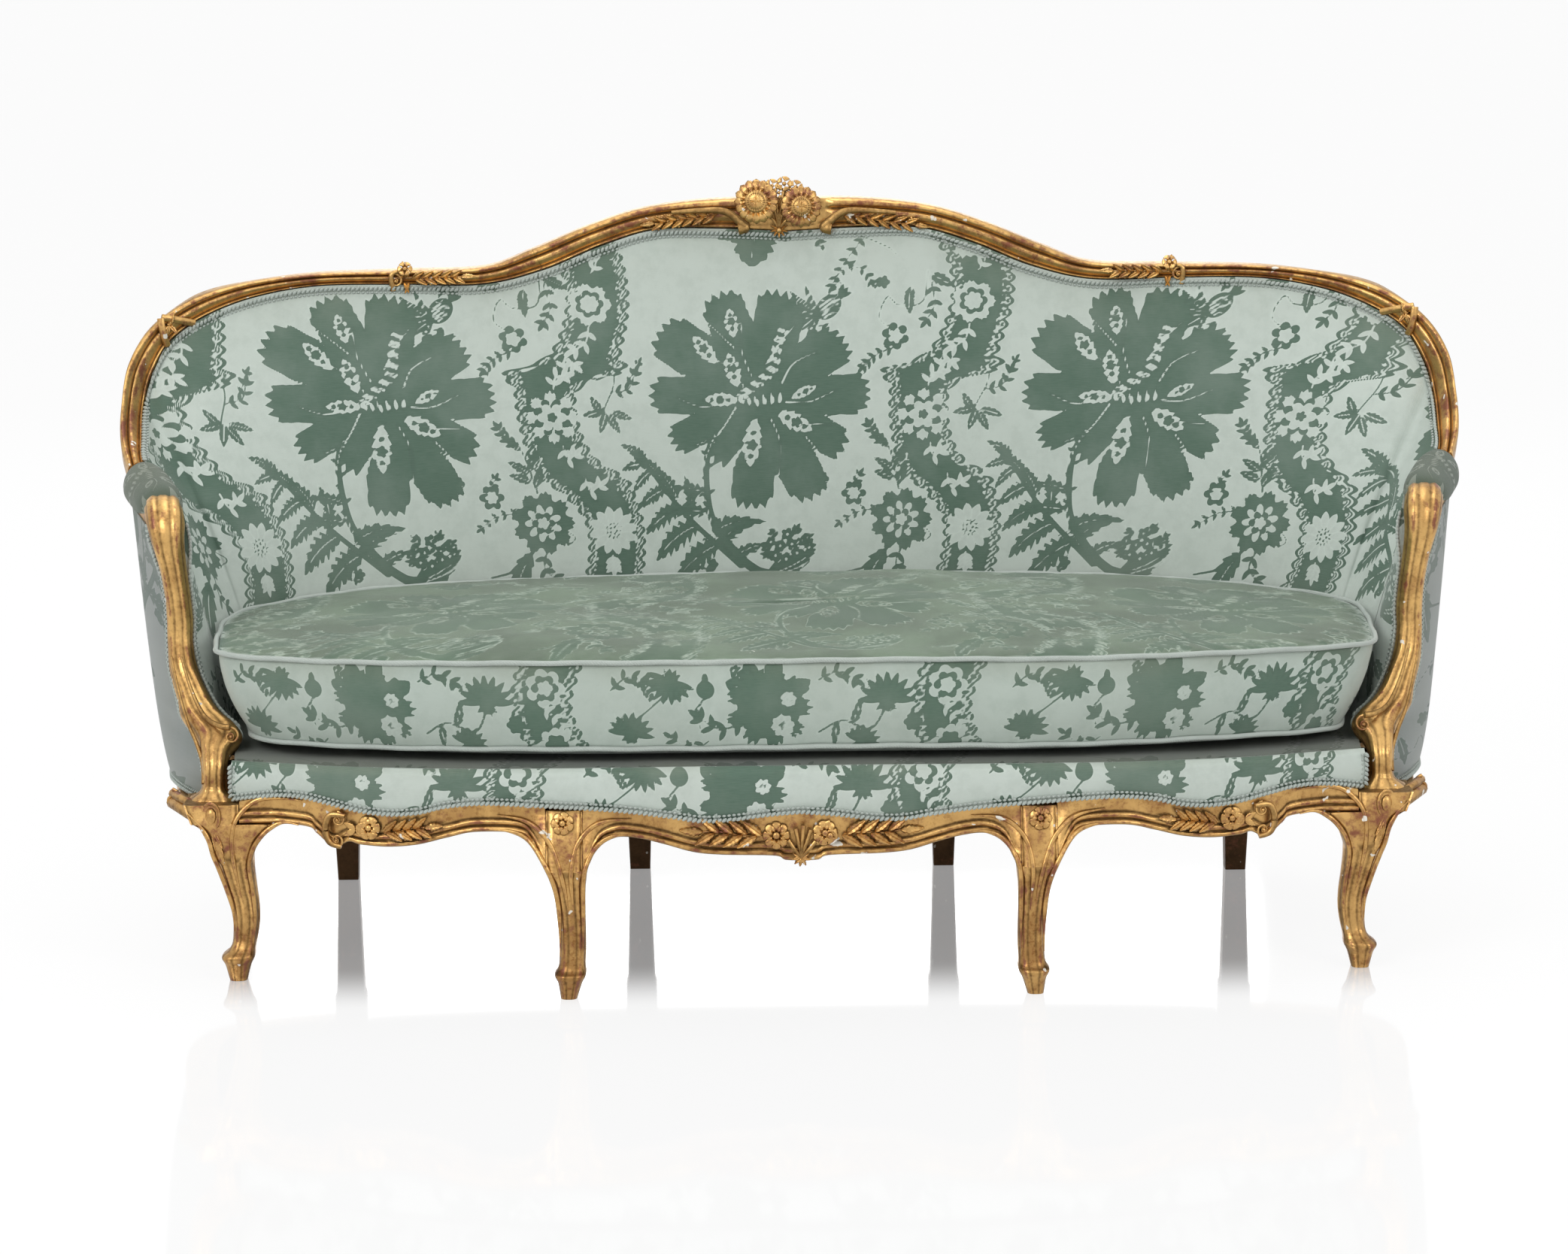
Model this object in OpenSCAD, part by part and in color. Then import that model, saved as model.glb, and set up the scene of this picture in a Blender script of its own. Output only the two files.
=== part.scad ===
// Cabriole sofa with a giltwood frame and one loose seat cushion.
// Millimetres, Z up, front towards -Y. The origin is on the floor, in the middle of the plan.
// Left and right are as seen from the front.

/* [Overall] */
// Width across the widest part of the back frame
sofa_w = 1930; // [1700:1:2200]
// Depth from the front knees to the back of the crest rail
sofa_d = 804; // [720:1:900]
// Height of the crest rail without its carving
crest_h = 1003; // [920:1:1100]

/* [Seat frame] */
// Height of the top of the seat rails
rail_top_h = 290; // [265:1:315]
// Thickness of the seat rails
rail_t = 45; // [36:1:52]
// Height of the plain rear seat rail
rear_rail_h = 66; // [54:1:72]
// Depth of the step in the front rail that the border's cloth fills
border_step = 13; // [9:1:18]
// Width of a cross rail under the seat
cross_rail_w = 46; // [36:1:58]
// Length of a corner block along each rail
block_leg = 70; // [56:1:84]
// Height of a corner block
block_h = 48; // [36:1:48]

/* [Back and arm frame] */
// Thickness of the back frame from front to back
frame_t = 36; // [30:1:42]
// Depth of the grooves in the back frame's moulding
flute_depth = 4; // [2:0.5:6]
// Width of a post inside the back
post_w = 48; // [36:1:60]
// Height of the lower back rails
tack_rail_h = 46; // [34:1:58]
// Height of the upholstered arm pad above the arm's frame
arm_pad_h = 20; // [14:1:28]

/* [Legs] */
// Width of the head of a rear leg
rear_head_w = 46; // [38:1:54]
// Depth of the head of a rear leg
rear_head_t = 40; // [34:1:44]
// Width of a rear leg at the floor
rear_foot_w = 30; // [24:1:36]

/* [Upholstery] */
// Thickness of the jute webbing
web_t = 2; // [1.5:0.5:3]
// Width of a webbing strap
web_w = 50; // [40:1:60]
// Thickness of the covering cloth with its lining
cloth_t = 3; // [2:0.5:4]
// Thickness of the stuffing in the middle of the seat
seat_pad_t = 22; // [18:1:28]
// How much lower the seat lies at its ends than in its middle
seat_droop = 20; // [6:1:24]
// How far the stuffed back and arms swell towards the sitter
back_swell = 24; // [12:1:28]
// How far the outside arms swell outwards
side_swell = 13; // [4:1:16]
// Width of the gimp braid
gimp_w = 9; // [7:0.5:12]
// Thickness of the gimp braid
gimp_t = 2.5; // [1.5:0.5:3]
// Thickness of the dust cover
dust_cover_t = 1.5; // [1:0.5:2]
// Diameter of a tack's head
tack_d = 8; // [6:0.5:11]
// Height of a tack's head
tack_h = 1.5; // [1:0.5:2.5]

/* [Cushion] */
// Height of the cushion's border between its two welts
border_h = 118; // [90:1:130]
// Height of the crown over the top welt
crown_h = 24; // [12:1:34]
// Depth of the belly under the bottom welt
belly_h = 20; // [14:1:26]
// Diameter of the welt cord
welt_d = 7; // [5:0.5:9]
// How far the cushion's border swells past its welts
border_swell = 10; // [4:1:12]

/* [Carving] */
// Radius of a sunflower on the crest
sunflower_r = 27; // [22:1:32]
// Thickness of the crest carving
crest_carving_t = 12; // [8:1:15]
// Height that the crest carving stands above the crest rail
crest_carving_rise = 27; // [18:1:34]
// Thickness of the carving on the rails
rail_carving_t = 7; // [4:1:9]
// Radius of a flower on the front rail
rail_flower_r = 18; // [14:1:21]
// Length of a spray of leaves on the crest
spray_l = 112; // [90:1:130]

/* [Hidden] */

gold = "goldenrod";
beech = "burlywood";
damask = "lightsteelblue";
velvet = "darkseagreen";
jute = "tan";
braid = "honeydew";
gap = 0.3;
overrun = 30;
half_w = sofa_w / 2;
half_d = sofa_d / 2;
plan_scale = [half_w, half_d];
frame_scale = [half_w, half_d, crest_h];
rail_scale = [half_w, rail_top_h];

// Stations of the back and arm frame, from the middle of the crest to the front of the arm.
// Outer edge of the moulding, as shares of half width, half depth and crest height.
rim_share = [
    [0, 0.910, 1.000], [0.114, 0.908, 0.999], [0.216, 0.903, 0.988], [0.302, 0.896, 0.963],
    [0.389, 0.886, 0.929], [0.466, 0.876, 0.904], [0.591, 0.851, 0.901], [0.715, 0.811, 0.900],
    [0.819, 0.751, 0.891], [0.897, 0.664, 0.871], [0.953, 0.570, 0.837], [0.985, 0.480, 0.790],
    [0.997, 0.428, 0.733], [0.994, 0.333, 0.688], [0.979, 0.234, 0.653], [0.969, 0.109, 0.638],
    [0.948, -0.040, 0.628], [0.931, -0.164, 0.623]
];
// Inner edge of the moulding, where the cloth of the inside back begins.
sight_share = [
    [0, 0.910, 0.952], [0.109, 0.908, 0.957], [0.202, 0.903, 0.956], [0.285, 0.896, 0.933],
    [0.373, 0.888, 0.899], [0.466, 0.876, 0.879], [0.585, 0.853, 0.881], [0.713, 0.811, 0.882],
    [0.808, 0.756, 0.869], [0.879, 0.692, 0.845], [0.928, 0.617, 0.814], [0.955, 0.567, 0.770],
    [0.967, 0.527, 0.726], [0.964, 0.396, 0.690], [0.956, 0.259, 0.662], [0.925, 0.109, 0.648],
    [0.902, -0.040, 0.638], [0.883, -0.164, 0.630]
];
// Foot of the stuffed inside, on the seat rails, as shares of half width and half depth.
inner_foot_share = [
    [0, 0.719], [0.094, 0.719], [0.175, 0.714], [0.247, 0.709], [0.322, 0.701], [0.403, 0.684],
    [0.507, 0.647], [0.613, 0.577], [0.688, 0.485], [0.737, 0.378], [0.766, 0.281], [0.781, 0.221],
    [0.789, 0.184], [0.805, 0.077], [0.818, -0.040], [0.826, -0.182], [0.830, -0.318], [0.833, -0.435]
];
// Outer face of the rear and side rails at the same stations, where the outside cover begins.
outer_foot_share = [
    [0, 0.856], [0.098, 0.856], [0.181, 0.856], [0.254, 0.853], [0.332, 0.848], [0.415, 0.843],
    [0.518, 0.828], [0.627, 0.796], [0.715, 0.741], [0.772, 0.677], [0.819, 0.597], [0.850, 0.525],
    [0.863, 0.473], [0.889, 0.363], [0.905, 0.226], [0.912, 0.047], [0.902, -0.214], [0.884, -0.413]
];
// The same face on from there to the corner leg
corner_plan_share = [[0.868, -0.53], [0.845, -0.66]];
// Front face of the front rail, in plan
front_plan_share = [
    [0, -0.955], [0.16, -0.952], [0.33, -0.938], [0.47, -0.905], [0.62, -0.824], [0.725, -0.727],
    [0.83, -0.625]
];
// Upper edge of the front rail's gilt face, as shares of half width and rail height
rail_line_share = [
    [0, 0.883], [0.05, 0.869], [0.1, 0.848], [0.14, 0.845], [0.18, 0.866], [0.25, 0.895], [0.33, 0.912],
    [0.43, 0.926], [0.49, 0.907], [0.53, 0.872], [0.572, 0.859], [0.612, 0.869], [0.652, 0.893],
    [0.694, 0.914], [0.736, 0.910], [0.80, 0.870]
];
// Lower edge of the front rail, between the inner legs and from an inner leg to the corner
center_edge_share = [
    [0, 0.655], [0.023, 0.659], [0.038, 0.679], [0.11, 0.686], [0.15, 0.70], [0.19, 0.738],
    [0.225, 0.766], [0.255, 0.772], [0.28, 0.734], [0.295, 0.652], [0.302, 0.640]
];
bay_edge_share = [
    [0.354, 0.640], [0.371, 0.741], [0.391, 0.79], [0.451, 0.793], [0.491, 0.762], [0.532, 0.724],
    [0.573, 0.707], [0.613, 0.71], [0.63, 0.721], [0.649, 0.686], [0.66, 0.703], [0.676, 0.748],
    [0.696, 0.779], [0.80, 0.779]
];
// Lower edge of the side rail, as shares of half depth and rail height
side_edge_share = [
    [-0.62, 0.80], [-0.5, 0.80], [-0.38, 0.775], [-0.25, 0.72], [-0.1, 0.662], [0.1, 0.64], [0.3, 0.65],
    [0.6, 0.70], [0.95, 0.77]
];
// Height at which the outside cover begins, of the rail height
cover_foot_share = 0.835;
// Ends of the front rails: both sides of an inner leg's head and the near side of a corner leg's head
inner_head_share = [0.302, 0.354];
corner_head_share = 0.786;
corner_back_share = -0.515;

// Sections of the legs from the head down: height of rail_top_h, then the near and far X of half_w
// and the front and back Y of half_d.
outer_leg_share = [
    [0.865, 0.786, 0.866, -0.70, -0.515], [0.80, 0.786, 0.858, -0.715, -0.515],
    [0.777, 0.786, 0.855, -0.72, -0.52], [0.775, 0.742, 0.852, -0.72, -0.52],
    [0.745, 0.747, 0.838, -0.735, -0.535], [0.697, 0.761, 0.830, -0.735, -0.55],
    [0.628, 0.768, 0.826, -0.73, -0.57], [0.562, 0.770, 0.820, -0.715, -0.58],
    [0.452, 0.768, 0.811, -0.69, -0.58], [0.369, 0.766, 0.805, -0.67, -0.575],
    [0.286, 0.766, 0.803, -0.66, -0.575], [0.2, 0.770, 0.804, -0.66, -0.575],
    [0.152, 0.773, 0.808, -0.675, -0.58], [0.117, 0.776, 0.817, -0.69, -0.585],
    [0.076, 0.779, 0.815, -0.685, -0.59], [0, 0.785, 0.810, -0.668, -0.6]
];
inner_leg_share = [
    [1, 0.302, 0.354, -0.90, -0.845], [0.903, 0.302, 0.354, -0.90, -0.845],
    [0.899, 0.302, 0.354, -0.933, -0.845], [0.885, 0.302, 0.354, -0.934, -0.845],
    [0.76, 0.302, 0.354, -0.972, -0.85], [0.638, 0.302, 0.354, -1, -0.86], [0.63, 0.296, 0.354, -1, -0.86],
    [0.548, 0.30, 0.345, -0.99, -0.87], [0.42, 0.301, 0.339, -0.965, -0.865],
    [0.276, 0.301, 0.337, -0.942, -0.85], [0.152, 0.302, 0.339, -0.95, -0.852],
    [0.117, 0.304, 0.342, -0.968, -0.855], [0.076, 0.307, 0.340, -0.962, -0.862],
    [0, 0.314, 0.337, -0.94, -0.875]
];
// How square a leg's section is: 1 has sharp corners
leg_square_share = 0.72;
// Middles of the rear legs' heads, of half width and half depth
rear_outer_head_share = [0.688, 0.677];
rear_inner_head_share = [0.237, 0.790];
// How far a rear foot stands backwards of its head, of half depth
rear_rake_share = 0.035;

// Sections of the arm support from its foot up: height between the corner leg and the arm rail, then
// X of half_w, Y of half_d, half the width and half the depth, both of frame_t.
arm_support_share = [
    [0, 0.826, -0.577, 0.50, 0.53], [0.05, 0.826, -0.573, 0.45, 0.53], [0.112, 0.825, -0.581, 0.44, 0.42],
    [0.162, 0.825, -0.535, 0.58, 0.54], [0.203, 0.821, -0.495, 0.84, 0.56],
    [0.238, 0.830, -0.460, 0.92, 0.56], [0.280, 0.848, -0.418, 0.80, 0.55],
    [0.331, 0.860, -0.373, 0.64, 0.53], [0.428, 0.877, -0.303, 0.54, 0.50],
    [0.533, 0.883, -0.274, 0.47, 0.48], [0.623, 0.883, -0.264, 0.48, 0.48],
    [0.722, 0.884, -0.279, 0.47, 0.48], [0.850, 0.888, -0.306, 0.50, 0.50],
    [0.957, 0.893, -0.326, 0.61, 0.53], [1.030, 0.897, -0.300, 0.72, 0.57],
    [1.064, 0.903, -0.232, 0.70, 0.57], [1.014, 0.906, -0.168, 0.58, 0.40]
];
arm_top_share = 0.601;

// Points between two stations of a curve
fine = 2;
v_rows = 5;
// Bias of a swell towards the foot of the wall
swell_bias = 0.8;
side_bias = 0.62;
// Stations at which the frame's members meet
crest_end = 4;
shoulder_end = 9;
stile_end = 14;
arm_rail_end = 17;
back_end = 14;
arm_start = 14.05;
// Stations at which the swell of the outside begins and is full
swell_start = 7;
swell_full = 12;
// Station from which the outside cover goes under the frame
under_start = 12.5;
// Layers of the wall from the cloth inside, at 0, to the cloth outside, at 1
back_pad_share = 0.42;
arm_pad_share = 0.36;
upright_web_share = [0.47, 0.49];
level_web_share = [0.52, 0.54];
post_share = [0.58, 0.84];
// Where the arm's cloth meets the arm rail, across the frame: inside, at the pad's back and outside
arm_wall_share = [-0.10, 0.33, 0.92];
arm_swell_share = 0.5;
// Stations of the arm's front edge behind the arm support, from its foot to its top
inside_front = [17.15, 16.3, 16.0, 16.3, 16.8, 16.8];
outside_front = [17.3, 16.95, 16.35, 16.3, 16.8, 17.2];
// Layer to which the outside cloth returns behind the arm support, at its foot and above
return_share = [0.3, 0.6];

function lerp(a, b, t) = a + (b - a) * t;
function total(list) = list * [for (x = list) 1];
function unit(v) = v / norm(v);
function times(p, s) = [for (i = [0 : len(s) - 1]) p[i] * s[i]];
function scaled(points, s) = [for (p = points) times(p, s)];
function reversed(list) = [for (i = [len(list) - 1 : -1 : 0]) list[i]];
function mirrored(points) = [for (p = reversed(points)) [-p[0], p[1]]];
function smooth(t) = let (c = max(0, min(1, t))) c * c * (3 - 2 * c);

// Smooth curve through points: Catmull-Rom, n steps from one point to the next
function curve_at(a, b, c, d, t) =
    (b * 2 + (c - a) * t + (a * 2 - b * 5 + c * 4 - d) * t * t + (b * 3 - a - c * 3 + d) * t * t * t) / 2;
function curve(p, n) = let (m = len(p) - 1) concat(
    [for (i = [0 : m - 1], k = [0 : n - 1])
        curve_at(p[max(i - 1, 0)], p[i], p[i + 1], p[min(i + 2, m)], k / n)],
    [p[m]]
);
// Value of a list at an index that need not be whole
function at(list, u) = let (i = max(0, min(floor(u), len(list) - 2))) lerp(list[i], list[i + 1], u - i);
// Second coordinate of a curve at x
function height_at(list, x) = let (i = max([for (k = [0 : len(list) - 2]) list[k][0] <= x ? k : 0]))
    lerp(list[i][1], list[i + 1][1], (x - list[i][0]) / (list[i + 1][0] - list[i][0]));

rim = curve(scaled(rim_share, frame_scale), fine);
sight = curve(scaled(sight_share, frame_scale), fine);
inner_foot = curve(scaled(inner_foot_share, plan_scale), fine);
outer_foot = curve(scaled(outer_foot_share, plan_scale), fine);
rail_plan = concat(outer_foot, scaled(corner_plan_share, plan_scale));
front_plan = curve(scaled(front_plan_share, plan_scale), fine);
rail_line = curve(scaled(rail_line_share, rail_scale), fine);
corner_head_x = corner_head_share * half_w;
corner_back_y = corner_back_share * half_d;
cover_foot_h = cover_foot_share * rail_top_h;
stuffing_z = rail_top_h + web_t * 2 + gap;
seat_z = rail_top_h + web_t * 2 + seat_pad_t + cloth_t;
function droop(x) = seat_droop * pow(x / half_w, 2);

// Closed solid through rings of points, with its faces turned outwards whichever way the rings run
function loft_sides(m, n) = [for (i = [0 : m - 2], k = [0 : n - 1], h = [0, 1])
    let (a = i * n + k, b = i * n + (k + 1) % n) h == 0 ? [a, b, b + n] : [a, b + n, a + n]];
// A cap is a fan round the ring's middle, or strips across the ring of a thin wall
function loft_caps(m, n, strips) = let (last = (m - 1) * n, hub = m * n) strips
    ? [for (k = [0 : n / 2 - 2], h = [0, 1], end = [0, last])
        let (f = h == 0 ? [k, k + 1, n - 1 - k] : [k + 1, n - 2 - k, n - 1 - k])
        end == 0 ? reversed(f) : [for (i = f) i + last]]
    : [for (k = [0 : n - 1], end = [0, 1])
        end == 0 ? [hub, (k + 1) % n, k] : [hub + 1, last + k, last + (k + 1) % n]];
function middle(ring) = [for (i = [0 : 2]) total([for (p = ring) p[i]]) / len(ring)];
function outward(points, faces) =
    total([for (f = faces) cross(points[f[0]], points[f[1]]) * points[f[2]]]) > 0
        ? [for (f = faces) reversed(f)]
        : faces;
module loft(rings, strips = false) {
    m = len(rings);
    n = len(rings[0]);
    points = concat([for (r = rings, p = r) p], strips ? [] : [middle(rings[0]), middle(rings[m - 1])]);
    polyhedron(points = points, faces = outward(points, concat(loft_sides(m, n), loft_caps(m, n, strips))));
}
// Tube along a closed route, with rings of points that face along it
module ring_loft(rings) {
    m = len(rings);
    n = len(rings[0]);
    points = [for (r = rings, p = r) p];
    faces = [for (i = [0 : m - 1], k = [0 : n - 1], h = [0, 1]) let (
        j = (i + 1) % m, l = (k + 1) % n, a = i * n + k, b = i * n + l, c = j * n + l, d = j * n + k
    ) h == 0 ? [a, b, c] : [a, c, d]];
    polyhedron(points = points, faces = outward(points, faces));
}
module on_left() mirror([1, 0, 0]) children();

// The back frame at a station, counted in fine steps: the moulding runs from s = 0 at the sight edge
// to s = 1 at the rim, and t is the depth behind its face.
function flipped(p) = [-p[0], p[1], p[2]];
function sight_at(i) = i < 0 ? flipped(sight[-i]) : sight[min(i, len(sight) - 1)];
// The depth runs backwards and downwards only, so that it stays behind the rim as seen from the front.
frame_back = [for (i = [0 : len(sight) - 1])
    let (d = cross(rim[i] - sight[i], sight_at(i + 1) - sight_at(i - 1))) unit([0, d[1], d[2]])];
function frame_point(u, s, t) = lerp(at(sight, u), at(rim, u), s) + at(frame_back, u) * t;
function frame_ring(u, profile) = [for (p = profile) frame_point(u, p[0], p[1])];
module frame_member(first, last, profile)
    loft([for (u = [first * fine : last * fine]) frame_ring(u, profile)]);
// Two round beads with a hollow between them, and a flat back
moulding = [
    [0, flute_depth], [0.1, 0], [0.27, 0], [0.36, flute_depth], [0.64, flute_depth], [0.73, 0], [0.9, 0],
    [1, flute_depth], [1, frame_t], [0, frame_t]
];

// The wall round the seat: u runs along the frame in fine steps, v from foot to frame, w from the
// inside out. The back stands inside the frame, and the arms run up inside and outside the arm rail.
arm_rail_depth_share = [0.28, 1];
function outwards(u) = let (
    i = min(u, len(inner_foot) - 2), t = unit(at(inner_foot, i + 0.5) - at(inner_foot, max(i - 0.5, 0)))
) [-t[1], t[0], 0];
function frame_width(u) = norm(at(rim, u) - at(sight, u));
function back_top(u, w) = frame_point(u, -gap * 3 / frame_width(u), frame_t * w);
function wall_foot(u, w, z) = let (p = lerp(at(inner_foot, u), at(outer_foot, u), w)) [p[0], p[1], z];
// Puff of a pad or a cover: none up to v = c, then a bulge that is fullest low down
function puff(v, c, bias) = sin(180 * pow(max(0, (v - c) / (1 - c)), bias));
// The inside pad's front and back. It bulges only above the seat, from v = c.
function arm_at(u) = smooth((u / fine - back_end) / 0.2);
function pad_tops(u) = let (k = arm_at(u)) [
    lerp(back_top(u, 0), frame_point(u, arm_wall_share[0], frame_t * arm_rail_depth_share[0] + gap), k),
    lerp(back_top(u, back_pad_share), frame_point(u, arm_wall_share[1], frame_t + gap), k)
];
function pad_clear(u) = (seat_z - stuffing_z) / (pad_tops(u)[0][2] - stuffing_z);
function pad_front(u, v, c) = lerp(wall_foot(u, 0, stuffing_z), pad_tops(u)[0], v)
    - outwards(u) * back_swell * lerp(1, arm_swell_share, smooth(u / fine - back_end + 1))
        * puff(v, c, swell_bias);
function pad_back(u, v) =
    lerp(wall_foot(u, lerp(back_pad_share, arm_pad_share, arm_at(u)), stuffing_z), pad_tops(u)[1], v);
function pad_rows(u) = let (c = pad_clear(u)) concat([0], [for (r = rows(v_rows)) lerp(c, 1, r)]);
// us holds one station for each row
function pad_ring(us) = let (c = pad_clear(us[1]), vs = pad_rows(us[1]), n = len(vs) - 1) concat(
    [for (i = [0 : n]) pad_front(us[i], vs[i], c)], [for (i = [n : -1 : 0]) pad_back(us[i], vs[i])]
);
// The outside cover moves from the frame's inner edge to under its outer edge on the way to the arm
function under_frame(u) = smooth((u / fine - under_start) / (back_end - under_start));
function cover_top(u, w) = let (
    k = under_frame(u), s = lerp(-gap / frame_width(u), lerp(arm_wall_share[1], arm_wall_share[2], w), k)
) frame_point(u, s, frame_t + (cloth_t + gap) * 2 * min(1, k * 9));
function side_swell_at(u) = side_swell * smooth((u / fine - swell_start) / (swell_full - swell_start));
function cover_point(u, v, w, fade) = lerp(wall_foot(u, w, cover_foot_h), cover_top(u, w), v)
    + outwards(u) * side_swell_at(u) * fade * puff(v, 0, side_bias);
// The cloth lies inside the wall's line at its foot, in the step of the rail, and outside it at the top
function cover_ring(us, vs, ws, fade, back) = let (
    n = len(vs) - 1,
    inward = [for (i = [0 : n]) unit(wall_foot(us[i] - back, 0, 0) - wall_foot(us[i], ws[i], 0)) * cloth_t],
    shift = [for (i = [0 : n]) vs[i] * under_frame(us[i])]
) concat(
    [for (i = [0 : n]) cover_point(us[i], vs[i], ws[i], fade) - inward[i] * shift[i]],
    [for (i = [n : -1 : 0]) cover_point(us[i], vs[i], ws[i], fade) + inward[i] * (1 - shift[i])]
);
function rows(n) = [for (r = [0 : n]) r / n];
function level(u, vs) = [for (v = vs) u];
// Stations from the start of the arm to its front edge, t of the way along at every height
function toward_front(t, vs, front) =
    [for (v = vs) fine * lerp(arm_start, at(front, v * (len(front) - 1)), t)];
function both_sides(rings) =
    concat([for (r = reversed(rings)) [for (p = r) flipped(p)]], [for (i = [1 : len(rings) - 1]) rings[i]]);
arm_steps = 7;

// A bar inside the wall, between two stations, two heights and two layers
function wall_point(u, v, w) = lerp(wall_foot(u, w, rail_top_h), back_top(u, w), v);
function bar_ring(u, v, w) = [
    wall_point(u, v[0], w[0]), wall_point(u, v[0], w[1]),
    wall_point(u, v[1], w[1]), wall_point(u, v[1], w[0])
];
function whole_between(a, b) = [for (k = [ceil(a) : floor(b)]) if (k > a && k < b) k];
function bar_rings(a, b, v, w) = [for (u = concat([a], whole_between(a, b), [b])) bar_ring(u, v, w)];

module back_upholstery() color(damask)
    loft(both_sides([for (u = [0 : back_end * fine]) pad_ring(level(u, rows(v_rows + 1)))]), strips = true);
module back_outside_cover() color(damask) let (vs = rows(v_rows))
    loft(both_sides([for (u = [0 : back_end * fine]) cover_ring(level(u, vs), vs, level(1, vs), 1, 0)]),
        strips = true);
module arm_inside_right() color(damask) loft([for (k = [0 : arm_steps])
    pad_ring(toward_front(k / arm_steps, pad_rows(arm_end_u), inside_front))], strips = true);
module arm_inside_left() on_left() arm_inside_right();
// The outside cover returns behind the arm support, above the rail
arm_end_u = arm_rail_end * fine;
fold_v = (rail_top_h + gap * 2 - cover_foot_h) / (cover_top(arm_end_u, 1)[2] - cover_foot_h);
function arm_cover_ring(t, foot_v, returned) = let (
    vs = [for (r = rows(v_rows)) lerp(foot_v, 1, r)],
    ws = [for (v = vs) lerp(1, lerp(return_share[0], return_share[1], min(1, v * 2)), returned)]
) cover_ring(toward_front(t, vs, outside_front), vs, ws, 1 - pow(t, 4), returned > 0 ? fine : 0);
module arm_outside_right() color(damask) loft(concat(
    [for (k = [0 : arm_steps]) arm_cover_ring(k / arm_steps, 0, 0)],
    [for (returned = [0, 0.5, 1]) arm_cover_ring(1.002, fold_v, returned)]
), strips = true);
module arm_outside_left() on_left() arm_outside_right();

// Posts stand on the rear rail over the legs and carry the crest and the shoulders
inner_post_station = 2.7;
outer_post_station = 7.45;
function half_stations(u, width) = width / 2 / norm(at(outer_foot, u + 0.5) - at(outer_foot, u - 0.5));
function post_span(station) = let (u = station * fine, h = half_stations(u, post_w)) [u - h, u + h];
module back_post(station) color(beech)
    loft(bar_rings(post_span(station)[0], post_span(station)[1], [0, 1], post_share));
module back_post_inner_right() back_post(inner_post_station);
module back_post_inner_left() on_left() back_post_inner_right();
module back_post_outer_right() back_post(outer_post_station);
module back_post_outer_left() on_left() back_post_outer_right();

// Rails for tacking between the posts
tack_rail_foot_share = 0.07;
tack_v = [tack_rail_foot_share, tack_rail_foot_share + tack_rail_h / (crest_h - rail_top_h)];
joint_stations = gap / 30;
module lower_back_rails() color(beech) {
    inner = post_span(inner_post_station);
    outer = post_span(outer_post_station);
    loft(both_sides(bar_rings(0, inner[0] - joint_stations, tack_v, post_share)));
    for (side = [0, 1]) mirror([side, 0, 0])
        loft(bar_rings(inner[1] + joint_stations, outer[0] - joint_stations, tack_v, post_share));
}

upright_straps = [0, 4.4, 8.8, 13, 18];
level_strap_share = [0.5];
module back_webbing() color(jute) {
    for (u = upright_straps, side = u == 0 ? [0] : [0, 1]) let (h = half_stations(u + 0.5, web_w))
        mirror([side, 0, 0]) loft(u == 0
            ? both_sides(bar_rings(0, h, [0, 1], upright_web_share))
            : bar_rings(u - h, u + h, [0, 1], upright_web_share));
    for (v = level_strap_share)
        loft(both_sides(bar_rings(0, back_end * fine, [v, v + web_w / crest_h], level_web_share)));
}

module crest_rail() color(gold)
    loft(both_sides([for (u = [0 : crest_end * fine]) frame_ring(u, moulding)]));
module shoulder_rail_right() color(gold) frame_member(crest_end, shoulder_end, moulding);
module shoulder_rail_left() on_left() shoulder_rail_right();
module back_stile_right() color(gold) frame_member(shoulder_end, stile_end, moulding);
module back_stile_left() on_left() back_stile_right();

// The arm rail runs on from the stile under the arm pad, and ends flat against the arm support
arm_rail_profile = [for (p = [[0.06, 0], [0.92, 0], [0.92, 1], [0.42, 1]])
    [p[0], frame_t * lerp(arm_rail_depth_share[0], arm_rail_depth_share[1], p[1])]];
arm_front_y = arm_support_share[len(arm_support_share) - 1][2] * half_d + gap;
module arm_rail_right() color(beech) loft(concat(
    [for (u = [stile_end * fine : arm_rail_end * fine - 1])
        frame_ring(max(u, stile_end * fine + joint_stations), arm_rail_profile)],
    [[for (p = frame_ring(arm_rail_end * fine, arm_rail_profile)) [p[0], arm_front_y, p[2]]]]
));
module arm_rail_left() on_left() arm_rail_right();

// The pad lies on the arm rail and rounds off at both ends
pad_top = frame_t * arm_rail_depth_share[0] - gap * 4;
pad_span = [14.27, 16.85];
pad_steps = 8;
pad_profile_share = [
    [-0.12, 0], [-0.22, 0.28], [-0.14, 0.62], [0.14, 0.92], [0.5, 1], [0.86, 0.92], [1.14, 0.62],
    [1.22, 0.28], [1.12, 0]
];
function pad_round(t) = sqrt(1 - pow(abs(2 * t - 1), 3.2) * 0.8);
function pad_section(r) = [for (p = pad_profile_share)
    [0.5 + (p[0] - 0.5) * lerp(0.7, 1, r), pad_top - p[1] * (pad_top + arm_pad_h) * r]];
module arm_pad_right() color(velvet) loft([for (k = [0 : pad_steps]) let (t = k / pad_steps)
    frame_ring(fine * lerp(pad_span[0], pad_span[1], t), pad_section(pad_round(t)))]);
module arm_pad_left() on_left() arm_pad_right();

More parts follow.
